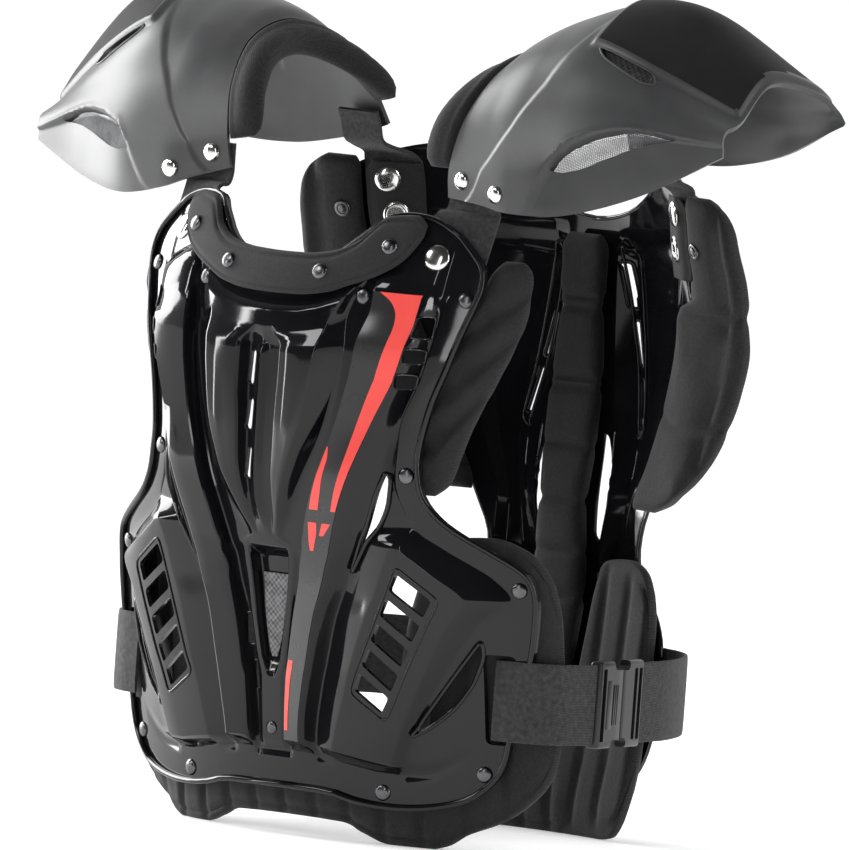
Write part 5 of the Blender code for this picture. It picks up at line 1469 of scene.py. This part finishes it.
def build_cups():
    cups = {}
    for side, word in SIDES:
        cup = cup_shell("cup_moulding_" + word, side)
        settle(cup, CUP_GREY, ["shoulder_cup_" + word])
        dull_crown(cup, side, CROWN_BLACK)
        settle(cup_mesh("cup_wire_" + word, side), WIRE)
        lining = cup_lining("cup_liner_" + word, side)
        settle(lining, MESH_KNIT, ["shoulder_lining_" + word])
        roll = neck_roll("neck_roll_" + word, side)
        settle(roll, PAD_KNIT, ["shoulder_pad_" + word])
        cups[side] = cup
    return cups


def build_straps():
    strap_front_seat = -(PLATE_WALL + FRONT_CLEAR) - STRAP_THICK / 2 - FRONT_CLEAR
    strap_back_seat = -(BACK_CLEAR + STRAP_THICK / 2)
    for side, word in SIDES:
        for name, node, points in (
                ("waist_elastic_front_", "side_strap_front_", STRAP_FRONT),
                ("waist_elastic_rear_", "side_strap_rear_", STRAP_REAR)):
            item = side_band(name + word, points, side)
            settle(item, WEBBING, [node + word])
        front = shoulder_band(
            "shoulder_web_front_" + word, STRAP_SHOULDER, SHOULDER_EDGES, side, front_at, strap_front_seat)
        settle(front, WEBBING, ["shoulder_strap_front_" + word])
        rear = shoulder_band(
            "shoulder_web_rear_" + word, STRAP_BACK, BACK_EDGES, side, back_at, strap_back_seat)
        settle(rear, WEBBING, ["shoulder_strap_rear_" + word])
        socket = buckle_socket("clip_socket_" + word, side)
        settle(socket, BUCKLE_BLACK, ["buckle_socket_" + word])
        prong = buckle_prong("clip_prong_" + word, side)
        settle(prong, BUCKLE_BLACK, ["buckle_prong_" + word])


def build_hardware(front_skin, collar, cups, tabs, pads):
    big = turned_cap("big_master", RIVET_BIG, BROAD_DOME)
    small = turned_cap("small_master", RIVET_SMALL, DOME)
    middle = turned_cap("middle_master", RIVET_SMALL * 0.8, DOME)
    cup_cap = turned_cap("cup_master", RIVET_CUP, DOME)
    washer = turned_cap("washer_master", RIVET_SMALL, WASHER)
    ring = turned_cap("ring_master", RIVET_BIG, EYELET_RING)
    caps = []

    def set_cap(master, node, spot, normal, finish):
        name = node.replace("rivet", "cap").replace("eyelet", "ring")
        item = copy_at(master, name, spot, normal, CAP_SINK)
        settle(item, finish, [node])
        caps.append(item)

    spot, normal = meet(front_skin, SIDE_SHIFT, CENTRE_RIVET * HAND)
    set_cap(middle, "rivet_centre", spot, normal, GUNMETAL)
    collar_skin = skin_of(collar)
    for side, word in SIDES:
        for name, x, z, size in FRONT_RIVETS:
            spot, normal = meet(front_skin, side * x * HAND + SIDE_SHIFT, z * HAND)
            if size == "big":
                set_cap(big, name + "_" + word, spot, normal, NICKEL)
            else:
                set_cap(small, name + "_" + word, spot, normal, GUNMETAL)
        for name, x, z in COLLAR_RIVETS:
            spot, normal = meet(collar_skin, side * x * HAND + SIDE_SHIFT, z * HAND)
            set_cap(small, name + "_" + word, spot, normal, GUNMETAL)
        cup_skin = skin_of(cups[side])
        for name, x, z in CUP_RIVETS:
            place = cup_turn(np.array((x * HAND, 0.0, z * HAND)), side)
            spot, normal = meet(cup_skin, float(place[0]), float(place[2]))
            set_cap(cup_cap, name + "_" + word, spot, normal, NICKEL)
        tab_skin = skin_of(tabs[side])
        spot, normal = inside(tab_skin, TAB_RIVET, side)
        set_cap(big, "rivet_tab_" + word, spot, normal, NICKEL)
        spot, normal = inside(tab_skin, TAB_EYELET, side)
        set_cap(ring, "eyelet_" + word, spot, normal, NICKEL)
        pad_skin = skin_of(pads["back_pad_" + word])
        spot, normal = inside(pad_skin, BLADE_RIVET, side)
        set_cap(washer, "rivet_back_pad_" + word, spot, normal, GUNMETAL)
    for master in (big, small, middle, cup_cap, washer, ring):
        bpy.data.objects.remove(master, do_unlink=True)


def inside(skin, place, side):
    """The spot on a rear piece's inner face, met from between the two shells."""
    x, z = place
    start = Vector((side * x * HAND + SIDE_SHIFT, 0.0, z * HAND))
    hit, normal, _, _ = skin.ray_cast(start, Vector((0.0, 1.0, 0.0)))
    if normal.y > 0.0:
        normal = -normal
    return hit, normal


# Studio
CAMERA_BACK = Vector((0.6352, -0.7694, 0.0676))
CAMERA_RIGHT = Vector((0.766, 0.639, 0.0717))
CAMERA_FAR = 30.0
MIDDLE_NEARER = 0.07
PIXEL = 0.00062
PHOTO_WIDE = 849.0
PHOTO_TALL = 850.0
FOOT_PIXEL = (275.0, 832.0)


LIGHT_AIM = (0.0, 0.0, 0.28)
# Softboxes: name, place, width, power, height
SOFTBOXES = [
    ("key_box", (-1.1, -2.2, 1.9), 0.9, 22.0, 0.7),
    ("left_box", (-2.4, -0.25, 0.9), 1.0, 95.0, 2.2),
    ("right_edge", (0.95, -2.6, 1.0), 0.22, 9.0, 1.7),
    ("front_strip", (-1.75, -1.75, 0.6), 0.10, 14.0, 1.9),
    ("right_strip", (2.2, 0.5, 0.9), 0.30, 20.0, 1.6),
]


def build_camera():
    lens = bpy.data.cameras.new("photo_camera")
    camera = bpy.data.objects.new("photo_camera", lens)
    bpy.context.scene.collection.objects.link(camera)
    bpy.context.scene.camera = camera
    back = CAMERA_BACK.normalized()
    right = (CAMERA_RIGHT - back * CAMERA_RIGHT.dot(back)).normalized()
    up = back.cross(right)
    foot = Vector((SIDE_SHIFT, DEPTH_SHIFT, 0.0))
    across_view = (PHOTO_WIDE / 2 - FOOT_PIXEL[0]) * PIXEL
    up_view = (FOOT_PIXEL[1] - PHOTO_TALL / 2) * PIXEL
    aim = foot + right * across_view + up * up_view
    camera.matrix_world = Matrix.Translation(aim + back * (CAMERA_FAR - MIDDLE_NEARER)) @ Matrix(
        (right, up, back)).transposed().to_4x4()
    lens.sensor_width = 36.0
    lens.lens = 36.0 * CAMERA_FAR / (PHOTO_TALL * PIXEL)
    lens.clip_start = 0.1
    lens.clip_end = 100.0
    lens.dof.use_dof = False


def soft_light(name, place, target, wide, power, tall):
    light = bpy.data.lights.new(name, "AREA")
    light.shape = "RECTANGLE"
    light.size = wide
    light.size_y = tall
    light.energy = power
    item = bpy.data.objects.new(name, light)
    bpy.context.scene.collection.objects.link(item)
    item.location = place
    item.rotation_mode = "QUATERNION"
    item.rotation_quaternion = (Vector(target) - Vector(place)).to_track_quat("-Z", "Y")
    return item


def build_studio():
    bpy.ops.object.select_all(action="DESELECT")
    bpy.ops.mesh.primitive_plane_add(size=240.0, location=(0.0, 0.0, 0.0))
    floor = bpy.context.active_object
    floor.name = "studio_floor"
    finish, tree, shader = shader_of("studio_white", (0.86, 0.86, 0.86), 0.9)
    shader.inputs["Specular IOR Level"].default_value = 0.1
    shader.inputs["Emission Color"].default_value = (1.0, 1.0, 1.0, 1.0)
    shader.inputs["Emission Strength"].default_value = 0.30
    floor.data.materials.append(finish)
    world = bpy.data.worlds.new("studio_air")
    world.use_nodes = True
    tree = world.node_tree
    sky = tree.nodes["Background"]
    sky.inputs["Color"].default_value = (1.0, 1.0, 1.0, 1.0)
    side_on = add_node(tree, "ShaderNodeVectorMath", operation="DOT_PRODUCT")
    tree.links.new(add_node(tree, "ShaderNodeTexCoord").outputs["Generated"], side_on.inputs[0])
    side_on.inputs[1].default_value = -CAMERA_BACK
    wash = add_node(tree, "ShaderNodeMapRange", interpolation_type="SMOOTHSTEP")
    for label, value in (("From Min", -0.20), ("From Max", 0.90), ("To Min", 0.04), ("To Max", 1.0)):
        wash.inputs[label].default_value = value
    tree.links.new(side_on.outputs["Value"], wash.inputs["Value"])
    tree.links.new(wash.outputs[0], sky.inputs["Strength"])
    bpy.context.scene.world = world
    for name, place, wide, power, tall in SOFTBOXES:
        soft_light(name, place, LIGHT_AIM, wide, power, tall)
    sun = bpy.data.lights.new("ceiling", "SUN")
    sun.energy = 1.7
    sun.angle = 1.0
    ceiling = bpy.data.objects.new("ceiling", sun)
    bpy.context.scene.collection.objects.link(ceiling)
    ceiling.visible_glossy = False
    scene = bpy.context.scene
    scene.view_settings.view_transform = "Standard"
    scene.view_settings.look = "None"


def main():
    build_camera()
    front_skin = build_shells()
    build_films()
    build_badge()
    pads, collar, tabs = build_pads()
    cups = build_cups()
    build_straps()
    build_hardware(front_skin, collar, cups, tabs, pads)
    build_studio()


main()
